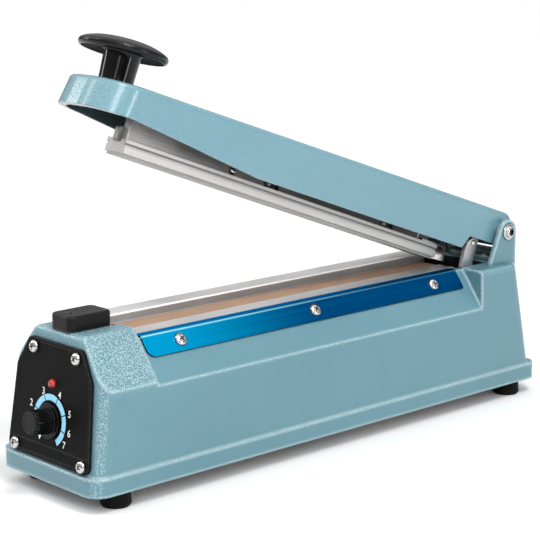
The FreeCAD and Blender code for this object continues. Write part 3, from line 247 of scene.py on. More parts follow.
heavy = calculate(pimples, "MAXIMUM", overlap(pimples, near_front, high_up, sloping), upright_corner)
thick_coat = overlap(pimples, drops, calculate(pimples, "MAXIMUM", heavy, given["Least"]))
# A painted highlight: the raised tops of the thick pimples, later laid over in a pale colour.
pimples.links.new(overlap(pimples, glint_spots, heavy), out["PaintedGlint"])
pimples.links.new(calculate(pimples, "MULTIPLY_ADD", orange_peel, 0.40, thick_coat), out["Height"])
pimples.links.new(noise(pimples, where, scale=14.0, detail=3.0), out["Tone"])

# Mask for paler edges: edge wear together with a painted highlight on rounded edges.
edge_wear_and_highlight, given, out = effect("EdgeWearAndHighlight", {"Radius": 0.0016, "Full": 0.25, "Patch": 1500.0}, ("Mask",))
rounded = edge_wear_and_highlight.nodes.new("ShaderNodeBevel")
rounded.samples = 6
edge_wear_and_highlight.links.new(given["Radius"], rounded.inputs["Radius"])
turn = edge_wear_and_highlight.nodes.new("ShaderNodeVectorMath")
turn.operation = "DOT_PRODUCT"
edge_wear_and_highlight.links.new(rounded.outputs["Normal"], turn.inputs[0])
edge_wear_and_highlight.links.new(edge_wear_and_highlight.nodes.new("ShaderNodeNewGeometry").outputs["Normal"], turn.inputs[1])
bent = calculate(edge_wear_and_highlight, "MAXIMUM", calculate(edge_wear_and_highlight, "SUBTRACT", 1.0, turn.outputs["Value"]), 0.0)
strong = calculate(edge_wear_and_highlight, "SUBTRACT", calculate(edge_wear_and_highlight, "POWER", bent, 0.5), 0.04)
strong = calculate(edge_wear_and_highlight, "MAXIMUM", calculate(edge_wear_and_highlight, "DIVIDE", strong, given["Full"]), 0.0)
strong = calculate(edge_wear_and_highlight, "MINIMUM", strong, 1.0)
patchy = spread(edge_wear_and_highlight, noise(edge_wear_and_highlight, object_place(edge_wear_and_highlight), given["Patch"], detail=1.0), 0.40, 0.56, 0.35, 1.0)
edge_wear_and_highlight.links.new(overlap(edge_wear_and_highlight, strong, patchy), out["Mask"])


def add_group(tree, group, **values):
    node = tree.nodes.new("ShaderNodeGroup")
    node.node_tree = group
    for label, value in values.items():
        node.inputs[label].default_value = value
    return node.outputs


def relief(tree, shader, height, strength, distance, edge):
    """Round edges of one radius under a fine relief, both as surface normals."""
    rounding = tree.nodes.new("ShaderNodeBevel")
    rounding.samples = 6
    rounding.inputs["Radius"].default_value = edge
    bump = tree.nodes.new("ShaderNodeBump")
    bump.inputs["Strength"].default_value = strength
    bump.inputs["Distance"].default_value = distance
    tree.links.new(height, bump.inputs["Height"])
    tree.links.new(rounding.outputs["Normal"], bump.inputs["Normal"])
    tree.links.new(bump.outputs["Normal"], shader.inputs["Normal"])


def shade(tree, shader, factor, dark, light, start=0.3, end=0.7):
    """Colour that drifts between two shades over the surface."""
    ramp = tree.nodes.new("ShaderNodeValToRGB")
    ramp.color_ramp.elements[0].position = start
    ramp.color_ramp.elements[1].position = end
    ramp.color_ramp.elements[0].color = (*dark, 1)
    ramp.color_ramp.elements[1].color = (*light, 1)
    tree.links.new(factor, ramp.inputs["Fac"])
    tree.links.new(ramp.outputs["Color"], shader.inputs["Base Color"])


def lay_over(tree, mask, color):
    """Lays a colour over the material's own where the mask is high."""
    base = tree.nodes["Principled BSDF"].inputs["Base Color"]
    mix = tree.nodes.new("ShaderNodeMix")
    mix.data_type = "RGBA"
    tree.links.new(mask, mix.inputs["Factor"])
    tree.links.new(base.links[0].from_socket, mix.inputs["A"])
    mix.inputs["B"].default_value = (*color, 1)
    tree.links.new(mix.outputs["Result"], base)


def true_normal(tree):
    return axes(tree, tree.nodes.new("ShaderNodeNewGeometry").outputs["True Normal"])


def coat(names, material):
    """Puts one finish on the solids of some nodes."""
    for name in names:
        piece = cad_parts[name]
        if not piece.material_slots:
            piece.data.materials.append(material)
        for holder in piece.material_slots:
            holder.link = "OBJECT"
            holder.material = material


def enamel(name, gloss, edge, edge_full, wear_highlight_tint, glint_tint, dark, light, **where_thick):
    """Hammered enamel whose edges pale with wear and a painted highlight, and whose pimple tops carry a
    painted highlight where it lies thick.
    """
    material, tree, shader = new_material(name, light, 0.27)
    shader.inputs["Coat Weight"].default_value = gloss
    shader.inputs["Coat Roughness"].default_value = 0.12
    grain = add_group(tree, pimples, **where_thick)
    relief(tree, shader, grain["Height"], strength=0.9, distance=0.00016, edge=edge)
    shade(tree, shader, grain["Tone"], dark, light)
    pale = add_group(tree, edge_wear_and_highlight, Radius=edge * 1.2, Full=edge_full)
    edges = calculate(tree, "MULTIPLY", pale["Mask"], wear_highlight_tint)
    painted_glints = calculate(tree, "MULTIPLY", grain["PaintedGlint"], glint_tint)
    # Painted highlight: pale teal over the edges, together with their wear, and over the pimple tops.
    lay_over(tree, calculate(tree, "MAXIMUM", edges, painted_glints), (0.60, 0.76, 0.80))
    return material


housing_enamel = enamel("teal_enamel", gloss=0.15, edge=0.0021, edge_full=0.18, wear_highlight_tint=0.65,
                        glint_tint=0.32, dark=(0.084, 0.196, 0.240), light=(0.095, 0.215, 0.260))
tree = housing_enamel.node_tree
spot = axes(tree, object_place(tree))
aside = calculate(tree, "ABSOLUTE", spot["Y"])
# The rear block's flat top takes the plain dark teal back, which keeps the painted edge highlight off the
# concave feet of the ears.
flat_top = overlap(tree, rises(tree, spot["X"], 0.130, 0.132), rises(tree, spot["Z"], 0.0786, 0.0789),
                   falls(tree, spot["Z"], 0.0796, 0.0806, most=0.85))
lay_over(tree, flat_top, (0.085, 0.195, 0.235))
# Painted shade: the inside of the well under the hinge is laid over in near black teal.
well_shade = overlap(tree, rises(tree, spot["X"], 0.1205, 0.1215), falls(tree, aside, 0.0209, 0.0213),
                  falls(tree, spot["Z"], 0.0780, 0.0785), falls(tree, spot["X"], 0.1535, 0.1540))
lay_over(tree, well_shade, (0.012, 0.022, 0.027))


def reshaped(name, node, new_height):
    """A copy of a solid's mesh in the node's place, with other heights for some of its corners."""
    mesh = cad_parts[node].data.copy()
    mesh.name = name
    mesh.materials.clear()
    mesh.materials.append(housing_enamel)
    for vertex in mesh.vertices:
        height = new_height(*[value / mm for value in vertex.co])
        if height is not None:
            vertex.co.z = height * mm
    piece = in_scene(name, mesh)
    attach(piece, "base")
    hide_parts(node)


def bosses_in_slope(x, y, z):
    """The front foot bosses laid into the sloping shoulders that they stand out of."""
    shoulder = 83.2 - (abs(y) - 19.0) * 24.1 / 18.4
    near_boss = -147 < x < -135 and abs(y) > 30 and 60 < z < 66
    return shoulder if near_boss and z > shoulder else None


def longer_ears(x, y, z):
    """The feet of the two ears reach down into the block, past its round rear edge."""
    return z - 2.2 if abs(y) > 26.7 and z < 79.05 else None


reshaped("base_shell", "base_housing", bosses_in_slope)
reshaped("hinge_ears", "hinge_bracket", longer_ears)

# Painted light: the arm's enamel is the housing's teal painted lighter, as the arm stands higher and is lit
# more.
lit_arm_enamel = enamel("lit_arm_enamel", gloss=0.5, edge=0.0014, edge_full=0.5, wear_highlight_tint=0.3, glint_tint=0.06,
                    dark=(0.108, 0.236, 0.286), light=(0.122, 0.258, 0.308),
                    Front=-0.118, Back=0.02, Low=0.0, High=0.001, Least=0.45)
tree = lit_arm_enamel.node_tree
# Painted shade: inside the arm, its inner walls and the underside of its top are laid over in near black
# teal.
inward = tree.nodes.new("ShaderNodeMapping")
inward.vector_type = "TEXTURE"
inward.inputs["Location"].default_value = arm_place.translation
inward.inputs["Rotation"].default_value = arm_place.to_euler()
tree.links.new(object_place(tree), inward.inputs["Vector"])
spot = axes(tree, inward.outputs["Vector"])
aside = calculate(tree, "SUBTRACT", calculate(tree, "ABSOLUTE", spot["Y"]), 0.0040)
aside = calculate(tree, "MAXIMUM", aside, 0.0)
past_nose = calculate(tree, "MINIMUM", calculate(tree, "ADD", spot["X"], 0.28482), 0.0)
from_middle = calculate(tree, "MULTIPLY_ADD", past_nose, past_nose, calculate(tree, "POWER", aside, 2.0))
within_walls = falls(tree, calculate(tree, "SQRT", from_middle), 0.0186, 0.0189)
shaded_inside = overlap(tree, within_walls, falls(tree, spot["Z"], 0.0094, 0.0100, most=0.92))
shaded_underside = falls(tree, true_normal(tree)["Z"], -0.8, -0.6, most=0.75)
lay_over(tree, calculate(tree, "MAXIMUM", shaded_inside, shaded_underside), (0.018, 0.028, 0.032))
coat(("arm_shell",), lit_arm_enamel)

# Bright metal: the aluminium bed and press bar, the square rail and the zinc-plated steel parts.
# Drawn or rolled stock, so fine lines run along each piece and the edges are only just broken.


def levelled(tree, tilt):
    """The place on a piece, turned level about the Y axis."""
    node = tree.nodes.new("ShaderNodeVectorRotate")
    node.rotation_type = "Y_AXIS"
    tree.links.new(object_place(tree), node.inputs["Vector"])
    feed(tree, node.inputs["Angle"], tilt)
    return axes(tree, node.outputs["Vector"])


brushed, given, out = effect("DrawnLines", {"Along": 12.0, "Across": 2600.0, "Tilt": 0.0},
                             ("Height", "Tone"))
spot = levelled(brushed, given["Tilt"])
stretched = brushed.nodes.new("ShaderNodeCombineXYZ")
for axis, label in (("X", "Along"), ("Y", "Across"), ("Z", "Across")):
    brushed.links.new(overlap(brushed, spot[axis], given[label]), stretched.inputs[axis])
brushed.links.new(noise(brushed, stretched.outputs["Vector"], scale=1.0, detail=3.0), out["Height"])
brushed.links.new(noise(brushed, object_place(brushed), scale=35.0, detail=4.0), out["Tone"])


def drift_roughness(tree, shader, tone, least, most):
    tree.links.new(spread(tree, tone, 0.3, 0.7, least, most), shader.inputs["Roughness"])


def metal(name, dark, light, roughness, edge=0.0003, strength=0.12, metallic=1.0, tilt=0.0):
    """Drawn metal, with its lines along a piece that leans back by the tilt."""
    material, tree, shader = new_material(name, light, roughness, metallic)
    grain = add_group(tree, brushed, Tilt=tilt)
    relief(tree, shader, grain["Height"], strength, 0.0001, edge)
    lines = calculate(tree, "MULTIPLY", grain["Height"], 0.5)
    shade(tree, shader, calculate(tree, "MULTIPLY_ADD", grain["Tone"], 0.5, lines), dark, light)
    drift_roughness(tree, shader, grain["Tone"], roughness * 0.85, roughness * 1.15)
    return material


bar_tilt = -math.radians(20.1)
aluminium = metal("drawn_aluminium", (0.64, 0.63, 0.62), (0.72, 0.71, 0.70), 0.42, metallic=0.9)
bar_aluminium = metal("bar_aluminium", (0.60, 0.59, 0.58), (0.66, 0.65, 0.64), 0.5, metallic=0.75,
                      tilt=bar_tilt)
tree = bar_aluminium.node_tree
# Faces that look forward, such as the bar's front end, are laid over in a darker grey.
front_facing = falls(tree, true_normal(tree)["X"], -0.9, -0.7)
lay_over(tree, front_facing, (0.36, 0.355, 0.35))
bar_foot = arm_place @ Vector((-0.2756, 0, -0.022))
foot_height = bar_foot.z * math.cos(bar_tilt) - bar_foot.x * math.sin(bar_tilt)
groove_height = foot_height + 6.2 * mm
spot = levelled(tree, bar_tilt)
from_groove = calculate(tree, "ABSOLUTE", calculate(tree, "SUBTRACT", spot["Z"], groove_height))
aside = calculate(tree, "ABSOLUTE", spot["Y"])
groove_shadow = overlap(tree, falls(tree, from_groove, 0.0004, 0.0007, most=0.8),
                        rises(tree, aside, 0.0062, 0.0064))
lay_over(tree, groove_shadow, (0.16, 0.158, 0.155))

rail_metal = metal("rail_metal", (0.70, 0.695, 0.69), (0.82, 0.81, 0.80), 0.40, edge=0.0006)
tree = rail_metal.node_tree
# Painted shade: the rail's near side is laid over in a darker grey.
shaded_near_side = falls(tree, true_normal(tree)["Y"], -0.9, -0.7)
lay_over(tree, shaded_near_side, (0.40, 0.405, 0.41))
# Painted highlight: a white line along the rail's near top edge, where the metal is also made less
# metallic.
spot = axes(tree, object_place(tree))
painted_highlight_rim = overlap(tree, rises(tree, spot["Z"], 0.0826, 0.0829), falls(tree, spot["Y"], 0.0091, 0.0095))
lay_over(tree, painted_highlight_rim, (0.95, 0.95, 0.95))
rail_metallic = calculate(tree, "MULTIPLY_ADD", painted_highlight_rim, -0.9, 0.92)
tree.links.new(rail_metallic, tree.nodes["Principled BSDF"].inputs["Metallic"])

web_metal = metal("web_aluminium", (0.30, 0.295, 0.29), (0.62, 0.61, 0.60), 0.42, strength=0.3,
                  tilt=bar_tilt)
tree = web_metal.node_tree
# Painted shade: the web darkens towards the rear, where the arm shades it.
shade_under_arm = rises(tree, axes(tree, object_place(tree))["X"], -0.10, 0.02, most=0.85)
lay_over(tree, shade_under_arm, (0.07, 0.068, 0.066))

zinc = metal("zinc_plate", (0.48, 0.47, 0.46), (0.66, 0.65, 0.63), 0.36)
dull_steel = metal("dull_steel", (0.14, 0.14, 0.14), (0.24, 0.24, 0.23), 0.42)
coat(("heating_bed",), aluminium)
coat(("press_bar",), bar_aluminium)
coat(("back_rail",), rail_metal)
coat(("web_front", "web_middle", "web_rear"), web_metal)
coat(("bed_end_clip", "bar_end_bracket", "stop_bracket_outer", "stop_bracket_inner", "base_plate",
      "foot_screws", "bracket_rivets", "hinge_nut", "hinge_bushes", "bridge_screws", "knob_stud",
      "bar_guides", "guide_screws", "switch_pin", "arm_sleeve", "transformer_bracket",
      "transformer_screws", "timer_potentiometer", "timer_shaft", "bar_posts", "heating_element"), zinc)
coat(("return_spring_leg",), dull_steel)

# Black mouldings: switch block, plunger, bed clamp, gland and micro switch, in a fine satin texture.
# The feet are plain black rubber, and the strip under the press bar is soft grey silicone.
moulded, given, out = effect("MouldTexture", {"Scale": 2400.0}, ("Height", "Tone"))
moulded.links.new(noise(moulded, object_place(moulded), given["Scale"], detail=3.0), out["Height"])
moulded.links.new(noise(moulded, object_place(moulded), scale=45.0, detail=4.0), out["Tone"])


def moulding(name, dark, light, roughness, edge=0.0004, strength=0.15, scale=2400.0, metallic=0.0,
             specular=0.4, rubbed_and_highlight=None):
    """A fine even texture, whose edges take the given paler colour, as rubbing together with a painted
    highlight.
    """
    material, tree, shader = new_material(name, light, roughness, metallic, specular)
    grain = add_group(tree, moulded, Scale=scale)
    relief(tree, shader, grain["Height"], strength, 0.00012, edge)
    shade(tree, shader, grain["Tone"], dark, light)
    if rubbed_and_highlight:
        lay_over(tree, add_group(tree, edge_wear_and_highlight, Radius=edge * 1.2, Full=0.5, Patch=900.0)["Mask"], rubbed_and_highlight)
    drift_roughness(tree, shader, grain["Tone"], roughness * 0.85, roughness * 1.15)
    return material


# The satin black takes a paler grey on its edges: rubbing together with a painted highlight.
satin_black = moulding("satin_black", (0.002, 0.002, 0.0023), (0.004, 0.004, 0.0044), 0.30, edge=0.0009,
                       specular=0.16, rubbed_and_highlight=(0.16, 0.16, 0.16))
rubber = moulding("foot_rubber", (0.002, 0.002, 0.002), (0.004, 0.004, 0.004), 0.6, specular=0.1)
silicone = moulding("grey_silicone", (0.30, 0.29, 0.28), (0.36, 0.35, 0.34), 0.55, strength=0.08)
coat(("switch_block", "switch_plunger", "front_clamp", "cord_gland", "micro_switch"), satin_black)
coat(("rubber_feet",), rubber)
coat(("silicone_strip",), silicone)

# Seal line: woven tape with a slick brown coat over a pale woven strip and the heated ribbon.
# The tape is clamped at its two ends, and its weave shows as a fine even grain.
tape_brown = moulding("slick_tape", (0.27, 0.168, 0.11), (0.35, 0.225, 0.152), 0.6, scale=1500.0,
                      strength=0.5, specular=0.15)
tree = tape_brown.node_tree
# The tape's front end, at the clamp, is laid over in near black.
clamped_end = falls(tree, axes(tree, object_place(tree))["X"], -0.1134, -0.1129)
lay_over(tree, clamped_end, (0.006, 0.006, 0.006))
pale_weave = moulding("pale_weave", (0.62, 0.58, 0.50), (0.72, 0.68, 0.60), 0.7, scale=1500.0, strength=0.3)
coat(("ptfe_tape",), tape_brown)
coat(("insulation_strip",), pale_weave)

# Cover plate: a folded strip of brushed sheet in blue anodising, screwed over the bed's edge. Its blue is
# painted paler towards the front and lighter on its flat top strip as painted reflection, with a painted
# highlight along the fold and a painted shadow on its cut edges. The fold is a small round bend, and the
# two lower corners and the rear one are round.


def keep_smooth(form, sharp=32.0):
    """Smooth faces, with a crease wherever two faces meet at more than the given angle."""
    bmesh.ops.recalc_face_normals(form, faces=form.faces)
    for face in form.faces:
        face.smooth = True
    for edge in form.edges:
        if len(edge.link_faces) == 2 and edge.calc_face_angle(0.0) > math.radians(sharp):
            edge.smooth = False


def mesh_of(name, form, sharp=32.0):
    keep_smooth(form, sharp)
    mesh = bpy.data.meshes.new(name)
    form.to_mesh(mesh)
    form.free()
    return mesh


def add_piece(name, mesh, material, place, body, *nodes):
    """One visible piece, in place in the row frame, that stands for the given solids."""
    mesh = mesh.copy()
    mesh.name = name
    mesh.transform(place)
    piece = in_scene(name, mesh)
    for finish in material if isinstance(material, tuple) else (material,):
        mesh.materials.append(finish)
    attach(piece, body)
    if nodes:
        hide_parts(*nodes)
    return piece


slope = math.radians(52.64)
uphill = Vector((math.cos(slope), math.sin(slope)))
plate_foot, fold, top_edge = Vector((-29.46, 69.5)), Vector((-22.054, 79.2)), Vector((-17.3, 79.2))
front_end, rear_end, columns, thickness = -117.96, 113.64, 24, 0.95
bend_radius, corner, rear_corner = 1.6, 4.5, 1.2
reach = bend_radius * math.tan(slope / 2)
plate_profile = []
for step in range(9):
    angle = math.pi / 2 * step / 8
    climb, inset = corner * (1 - math.cos(angle)), corner * (1 - math.sin(angle))
    plate_profile.append((plate_foot + uphill * climb, inset))
plate_profile.append((plate_foot + uphill * ((fold - plate_foot).length - reach), 0.0))
bend_centre = fold + Vector((reach, -bend_radius))
for step in range(1, 7):
    angle = math.pi / 2 + slope * (1 - step / 6)
    plate_profile.append((bend_centre + Vector((math.cos(angle), math.sin(angle))) * bend_radius, 0.0))
plate_profile.append((top_edge, 0.0))
form = bmesh.new()
rows = []
for point, inset in plate_profile:
    into_corner = max(0.0, rear_corner - (point - plate_foot).length)
    rear_inset = rear_corner - math.sqrt(max(0.0, rear_corner ** 2 - into_corner ** 2))
    low, high = front_end + inset, rear_end - rear_inset
    rows.append([form.verts.new(((low + (high - low) * k / columns) * mm, point.x * mm, point.y * mm))
                 for k in range(columns + 1)])
for lower, upper in zip(rows, rows[1:]):
    for k in range(columns):
        form.faces.new((lower[k], lower[k + 1], upper[k + 1], upper[k]))
bmesh.ops.recalc_face_normals(form, faces=form.faces)
if form.faces[0].normal.z < 0:
    bmesh.ops.reverse_faces(form, faces=form.faces)
outer = set(form.verts)
bmesh.ops.solidify(form, geom=list(form.faces), thickness=thickness * mm)
for face in form.faces:
    if len({vert in outer for vert in face.verts}) == 2:
        face.material_index = 1
anodised, tree, shader = new_material("blue_anodised", (0.0, 0.2, 0.5), 0.33, metallic=1.0)
shader.inputs["Specular Tint"].default_value = (0.05, 0.35, 0.75, 1)
grain = add_group(tree, brushed, Along=10.0, Across=1500.0)
relief(tree, shader, grain["Height"], strength=0.25, distance=0.0001, edge=0.0003)
spot = axes(tree, object_place(tree))
# The brushed streaks and a painted reflection, paler towards the front, set the blue.
streaks_and_painted_reflection = calculate(tree, "MULTIPLY_ADD", grain["Height"], 0.5, rises(tree, spot["X"], -0.118, 0.01))
streaks_and_painted_reflection = calculate(tree, "SUBTRACT", streaks_and_painted_reflection, 0.24)
shade(tree, shader, streaks_and_painted_reflection, (0.0, 0.33, 0.62), (0.0, 0.066, 0.20), start=0.0, end=1.0)
# Painted light: the flat top strip is laid over in a lighter blue.
lit_top_strip = rises(tree, spot["Y"], -0.0221, -0.0213, most=0.6)
lay_over(tree, lit_top_strip, (0.0, 0.42, 0.80))
# Painted highlight along the fold, fading towards the rear.
fold_highlight = overlap(tree, rises(tree, spot["Y"], -0.0229, -0.0225),
                    falls(tree, spot["Y"], -0.0221, -0.0217),
                    spread(tree, spot["X"], -0.118, 0.08, start=0.9, end=0.15))
lay_over(tree, fold_highlight, (0.35, 0.85, 1.0))
# Painted shadow: the sheet's cut edges are near black.
shadowed_cut_edge = moulding("plate_cut_edge", (0.004, 0.006, 0.010), (0.008, 0.011, 0.018), 0.5, specular=0.2)
add_piece("cover_sheet", mesh_of("cover_sheet", form), (anodised, shadowed_cut_edge), Matrix.Identity(4), "base",
          "cover_plate")

# Cross-head screws: three large domed ones in the cover plate, four in the timer panel and one in the
# web over the press bar. Turned and rolled steel, nickel plated, each with its cross pressed in.


def spun(profile, steps=48, flute=None):
    """Turns a profile of radius and height about the z axis."""
    form = bmesh.new()
    rings = []
    for radius, height in profile:
        if radius < 1e-6:
            rings.append([form.verts.new((0, 0, height * mm))])
            continue
        ring = []
        for k in range(steps):
            angle = 2 * math.pi * k / steps
            size = radius if flute is None else flute(radius, height, angle)
            x, y = size * math.cos(angle), size * math.sin(angle)
            ring.append(form.verts.new((x * mm, y * mm, height * mm)))
        rings.append(ring)
    for lower, upper in zip(rings, rings[1:]):
        for k in range(steps):
            loop = [lower[k % len(lower)], lower[(k + 1) % len(lower)],
                    upper[(k + 1) % len(upper)], upper[k % len(upper)]]
            corners = [vert for index, vert in enumerate(loop) if vert not in loop[:index]]
            if len(corners) > 2:
                form.faces.new(corners)
    return form


def prism(outline, low, high, taper=1.0):
    """A prism over an outline in millimetres, whose foot is smaller by the taper."""
    form = bmesh.new()
    bottom = [form.verts.new((x * taper * mm, y * taper * mm, low * mm)) for x, y in outline]
    top_ring = [form.verts.new((x * mm, y * mm, high * mm)) for x, y in outline]
    form.faces.new(bottom)
    form.faces.new(top_ring)
    for k in range(len(outline)):
        after = (k + 1) % len(outline)
        form.faces.new((bottom[k], bottom[after], top_ring[after], top_ring[k]))
    bmesh.ops.recalc_face_normals(form, faces=form.faces)
    return form


def evaluated(item):
    """The mesh that an object's curves, text or modifiers give."""
    bpy.context.view_layer.update()
    ready = bpy.context.evaluated_depsgraph_get()
    return bpy.data.meshes.new_from_object(item.evaluated_get(ready))


def carved(name, form, *cutters):
    """The form with each cutter's shape taken out of it."""
    bmesh.ops.recalc_face_normals(form, faces=form.faces)
    mesh = bpy.data.meshes.new(name)
    form.to_mesh(mesh)
    form.free()
    stock = in_scene("stock", mesh)
    for cutter in cutters:
        blade_mesh = bpy.data.meshes.new("blade")
        cutter.to_mesh(blade_mesh)
        cutter.free()
        blade = in_scene("blade", blade_mesh)
        cut = stock.modifiers.new("cut", "BOOLEAN")
        cut.object = blade
        cut.solver = "EXACT"
        result = evaluated(stock)
        stock.modifiers.clear()
        stock.data = result
        bpy.data.objects.remove(blade)
    bpy.data.objects.remove(stock)
    form = bmesh.new()
    form.from_mesh(result)
    keep_smooth(form)
    form.to_mesh(result)
    form.free()
    result.name = name
    return result


plated = moulding("nickel_plate", (0.50, 0.49, 0.48), (0.62, 0.61, 0.60), 0.16, strength=0.02, metallic=1.0)
# Painted shade for the recesses, and a painted shadow on the thin ring under each head.
recess_shade = moulding("recess_shade", (0.02, 0.02, 0.02), (0.035, 0.035, 0.034), 0.5, strength=0.05,
                       metallic=0.5)
screw_finish = (plated, recess_shade)
shadow_ring_height = 0.12


def mark_recess(mesh, depth, reach, rim):
    """Painted shade: the dark second finish in a recess, and a painted shadow on the ring at the foot of
    the rim.
    """
    for face in mesh.polygons:
        from_axis, height = face.center.xy.length / mm, face.center.z / mm
        in_recess = from_axis < reach and height > 0 and (abs(face.normal.z) < 0.6 or height < depth)
        if in_recess or (from_axis > rim - 0.02 and height < shadow_ring_height + 0.01):
            face.material_index = 1
    return mesh


def cross_screw(name, radius, dome, shank, length):
    """Domed head with a pressed cross, on its shank, and a thin ring at its foot that carries a painted
    shadow.
    """
    shadow_ring = radius + 0.3
    curve = [math.pi / 2 * k / 9 for k in range(10)]
    profile = [(radius * 0.97 * math.sin(angle), dome * (0.32 + 0.68 * math.cos(angle))) for angle in curve]
    profile += [(radius, dome * 0.22), (radius, shadow_ring_height), (shadow_ring, shadow_ring_height), (shadow_ring, 0),
                (shank, 0), (shank, -length), (0, -length)]
    wing, half = radius * 0.56, radius * 0.12
    star = [(wing, -half), (wing, half), (half, half), (half, wing), (-half, wing), (-half, half),
            (-wing, half), (-wing, -half), (-half, -half), (-half, -wing), (half, -wing), (half, -half)]
    mesh = carved(name, spun(profile), prism(star, low=dome * 0.25, high=dome + 0.4, taper=0.66))
    return mark_recess(mesh, depth=dome * 0.27, reach=radius * 0.62, rim=radius)


plate_head = cross_screw("plate_screw", radius=3.4, dome=1.9, shank=1.0, length=3.4)
for index, x in enumerate((-95.56, -2.16, 91.24)):
    add_piece("plate_screw_%d" % (index + 1), plate_head, screw_finish,
              place_at(x, -25.795, 74.3, ("X", 52.64), ("Z", 20 + 31 * index)), "base", "plate_screws")
panel_place = place_at(-158.36, 0, 17.9, ("Y", 6.725))
panel_side = panel_place @ Matrix(((0, 0, -1), (-1, 0, 0), (0, 1, 0))).to_4x4()
panel_thickness = 2.0
panel_head = cross_screw("panel_screw", radius=3.1, dome=1.7, shank=1.2, length=4.0)
panel_spots = ((-17.2, 55.08, 12), (17.2, 55.08, 40), (-27.2, 4.13, 5), (27.2, 4.13, 62))
for index, (across, up, spin) in enumerate(panel_spots):
    add_piece("panel_screw_%d" % (index + 1), panel_head, screw_finish,
              panel_side @ place_at(across, up, panel_thickness, ("Z", spin)), "base", "panel_screws")
bar_place = arm_place @ place_at(-275.6, 0, -22.0, ("Y", 1.06))
web_head = cross_screw("web_screw", radius=2.3, dome=1.4, shank=1.2, length=3.0)
add_piece("web_screw_1", web_head, screw_finish,
          bar_place @ place_at(76.4, -3.0, 11.6, ("X", 90), ("Z", 25)), "bar", "web_screws")

# Timer panel: a black moulded plate with a raised rim, a groove near its foot, and a hole for each
# of the lamp and the timer shaft. Four screws hold it on the leaning front face.


def rounded_outline(points, radius):
    """Closed outline with every corner rounded by one radius."""
    steps = 6
    result = []
    for index, point in enumerate(points):
        corner, before = Vector(point), Vector(points[index - 1])
        after = Vector(points[(index + 1) % len(points)])
        back_way, on_way = (before - corner).normalized(), (after - corner).normalized()
        half = back_way.angle(on_way) / 2
        centre = corner + (back_way + on_way).normalized() * (radius / math.sin(half))
        first = corner + back_way * (radius / math.tan(half))
        last = corner + on_way * (radius / math.tan(half))
        start, sweep = first - centre, (first - centre).angle_signed(last - centre)
        for k in range(steps + 1):
            turned = -sweep * k / steps
            result.append((centre.x + start.x * math.cos(turned) - start.y * math.sin(turned),
                           centre.y + start.x * math.sin(turned) + start.y * math.cos(turned)))
    return result


def top_face(form):
    return max(form.faces, key=lambda face: face.calc_area() if face.normal.z > 0.9 else 0)


def panel_hole(radius, up):
    """A cutter for a round hole through the panel."""
    cutter = spun([(0, -1), (radius, -1), (radius, 3), (0, 3)])
    bmesh.ops.translate(cutter, verts=cutter.verts, vec=(0, up * mm, 0))
    return cutter


shaft_up, lamp_up, rim_step = 21.15, 39.67, 0.45 * mm
panel_edge = [(-33.2, 0.81), (33.2, 0.81), (30.3, 45.21), (21.5, 59.91), (-21.5, 59.91), (-30.3, 45.21)]
form = prism(rounded_outline(panel_edge, radius=4.0), 0.0, panel_thickness)
bmesh.ops.bevel(form, geom=list(top_face(form).edges), offset=0.7 * mm, offset_type="OFFSET", segments=3,
                profile=0.6, affect="EDGES")
bmesh.ops.inset_region(form, faces=[top_face(form)], thickness=0.7 * mm, depth=0, use_even_offset=True)
bmesh.ops.inset_region(form, faces=[top_face(form)], thickness=rim_step, depth=-rim_step,
                       use_even_offset=True)
groove = prism([(-29.8, 7.7), (29.8, 7.7), (29.8, 8.2), (-29.8, 8.2)], 1.2, 3.0)
# The panel's rim takes a paler grey: a painted highlight.
panel_black = moulding("panel_black", (0.0045, 0.0045, 0.0047), (0.0065, 0.0065, 0.0067), 0.42,
                       strength=0.2, scale=3200.0, specular=0.05, rubbed_and_highlight=(0.10, 0.10, 0.10))
panel_mesh = carved("panel_plate", form, groove, panel_hole(3.5, shaft_up), panel_hole(2.35, lamp_up))
add_piece("panel_plate", panel_mesh, panel_black, panel_side, "base", "control_panel")

# Dial: a light blue ring printed round the timer knob, cut by black ticks, with a white number at each.
# Below the panel's top the ready lamp shows as a small faceted red lens.
ring_blue = moulding("ring_blue", (0.27, 0.62, 0.84), (0.31, 0.66, 0.87), 0.5, strength=0.05, specular=0.3)
coat(("dial_ring",), ring_blue)
tick_black = moulding("tick_black", (0.010, 0.010, 0.010), (0.014, 0.014, 0.014), 0.45, strength=0.05)
number_white = moulding("number_white", (0.80, 0.80, 0.78), (0.88, 0.88, 0.86), 0.5, strength=0.05)
dial = panel_side @ place_at(0, shaft_up, panel_thickness)
print_height = 0.17
form = bmesh.new()
for angle in (-69.0, -24.5, 24.3, 67.0, 106.5):
    radial = Vector((math.sin(math.radians(angle)), math.cos(math.radians(angle))))
    across = Vector((radial.y, -radial.x))
    stripe = []
    for length, width in ((9.8, 0.26), (9.8, -0.26), (13.6, -0.30), (13.6, 0.30)):
        corner = radial * length + across * width
        stripe.append(form.verts.new((corner.x * mm, corner.y * mm, print_height * mm)))
    form.faces.new(stripe)
add_piece("dial_ticks", mesh_of("dial_ticks", form), tick_black, dial, "base")


def digit(text, angle, radius):
    words = bpy.data.curves.new("digit_" + text, "FONT")
    words.body = text
    words.size = 5.0 * mm
    words.align_x = "CENTER"
    words.align_y = "CENTER"
    words.offset = 0.05 * mm
    words.extrude = 0.02 * mm
    words.resolution_u = 6
    rough = in_scene("digit_" + text, words)
    mesh = evaluated(rough)
    bpy.data.objects.remove(rough)
    turned = math.radians(angle)
    add_piece("dial_number_" + text, mesh, number_white,
              dial @ place_at(radius * math.sin(turned), radius * math.cos(turned), 0.05), "base")


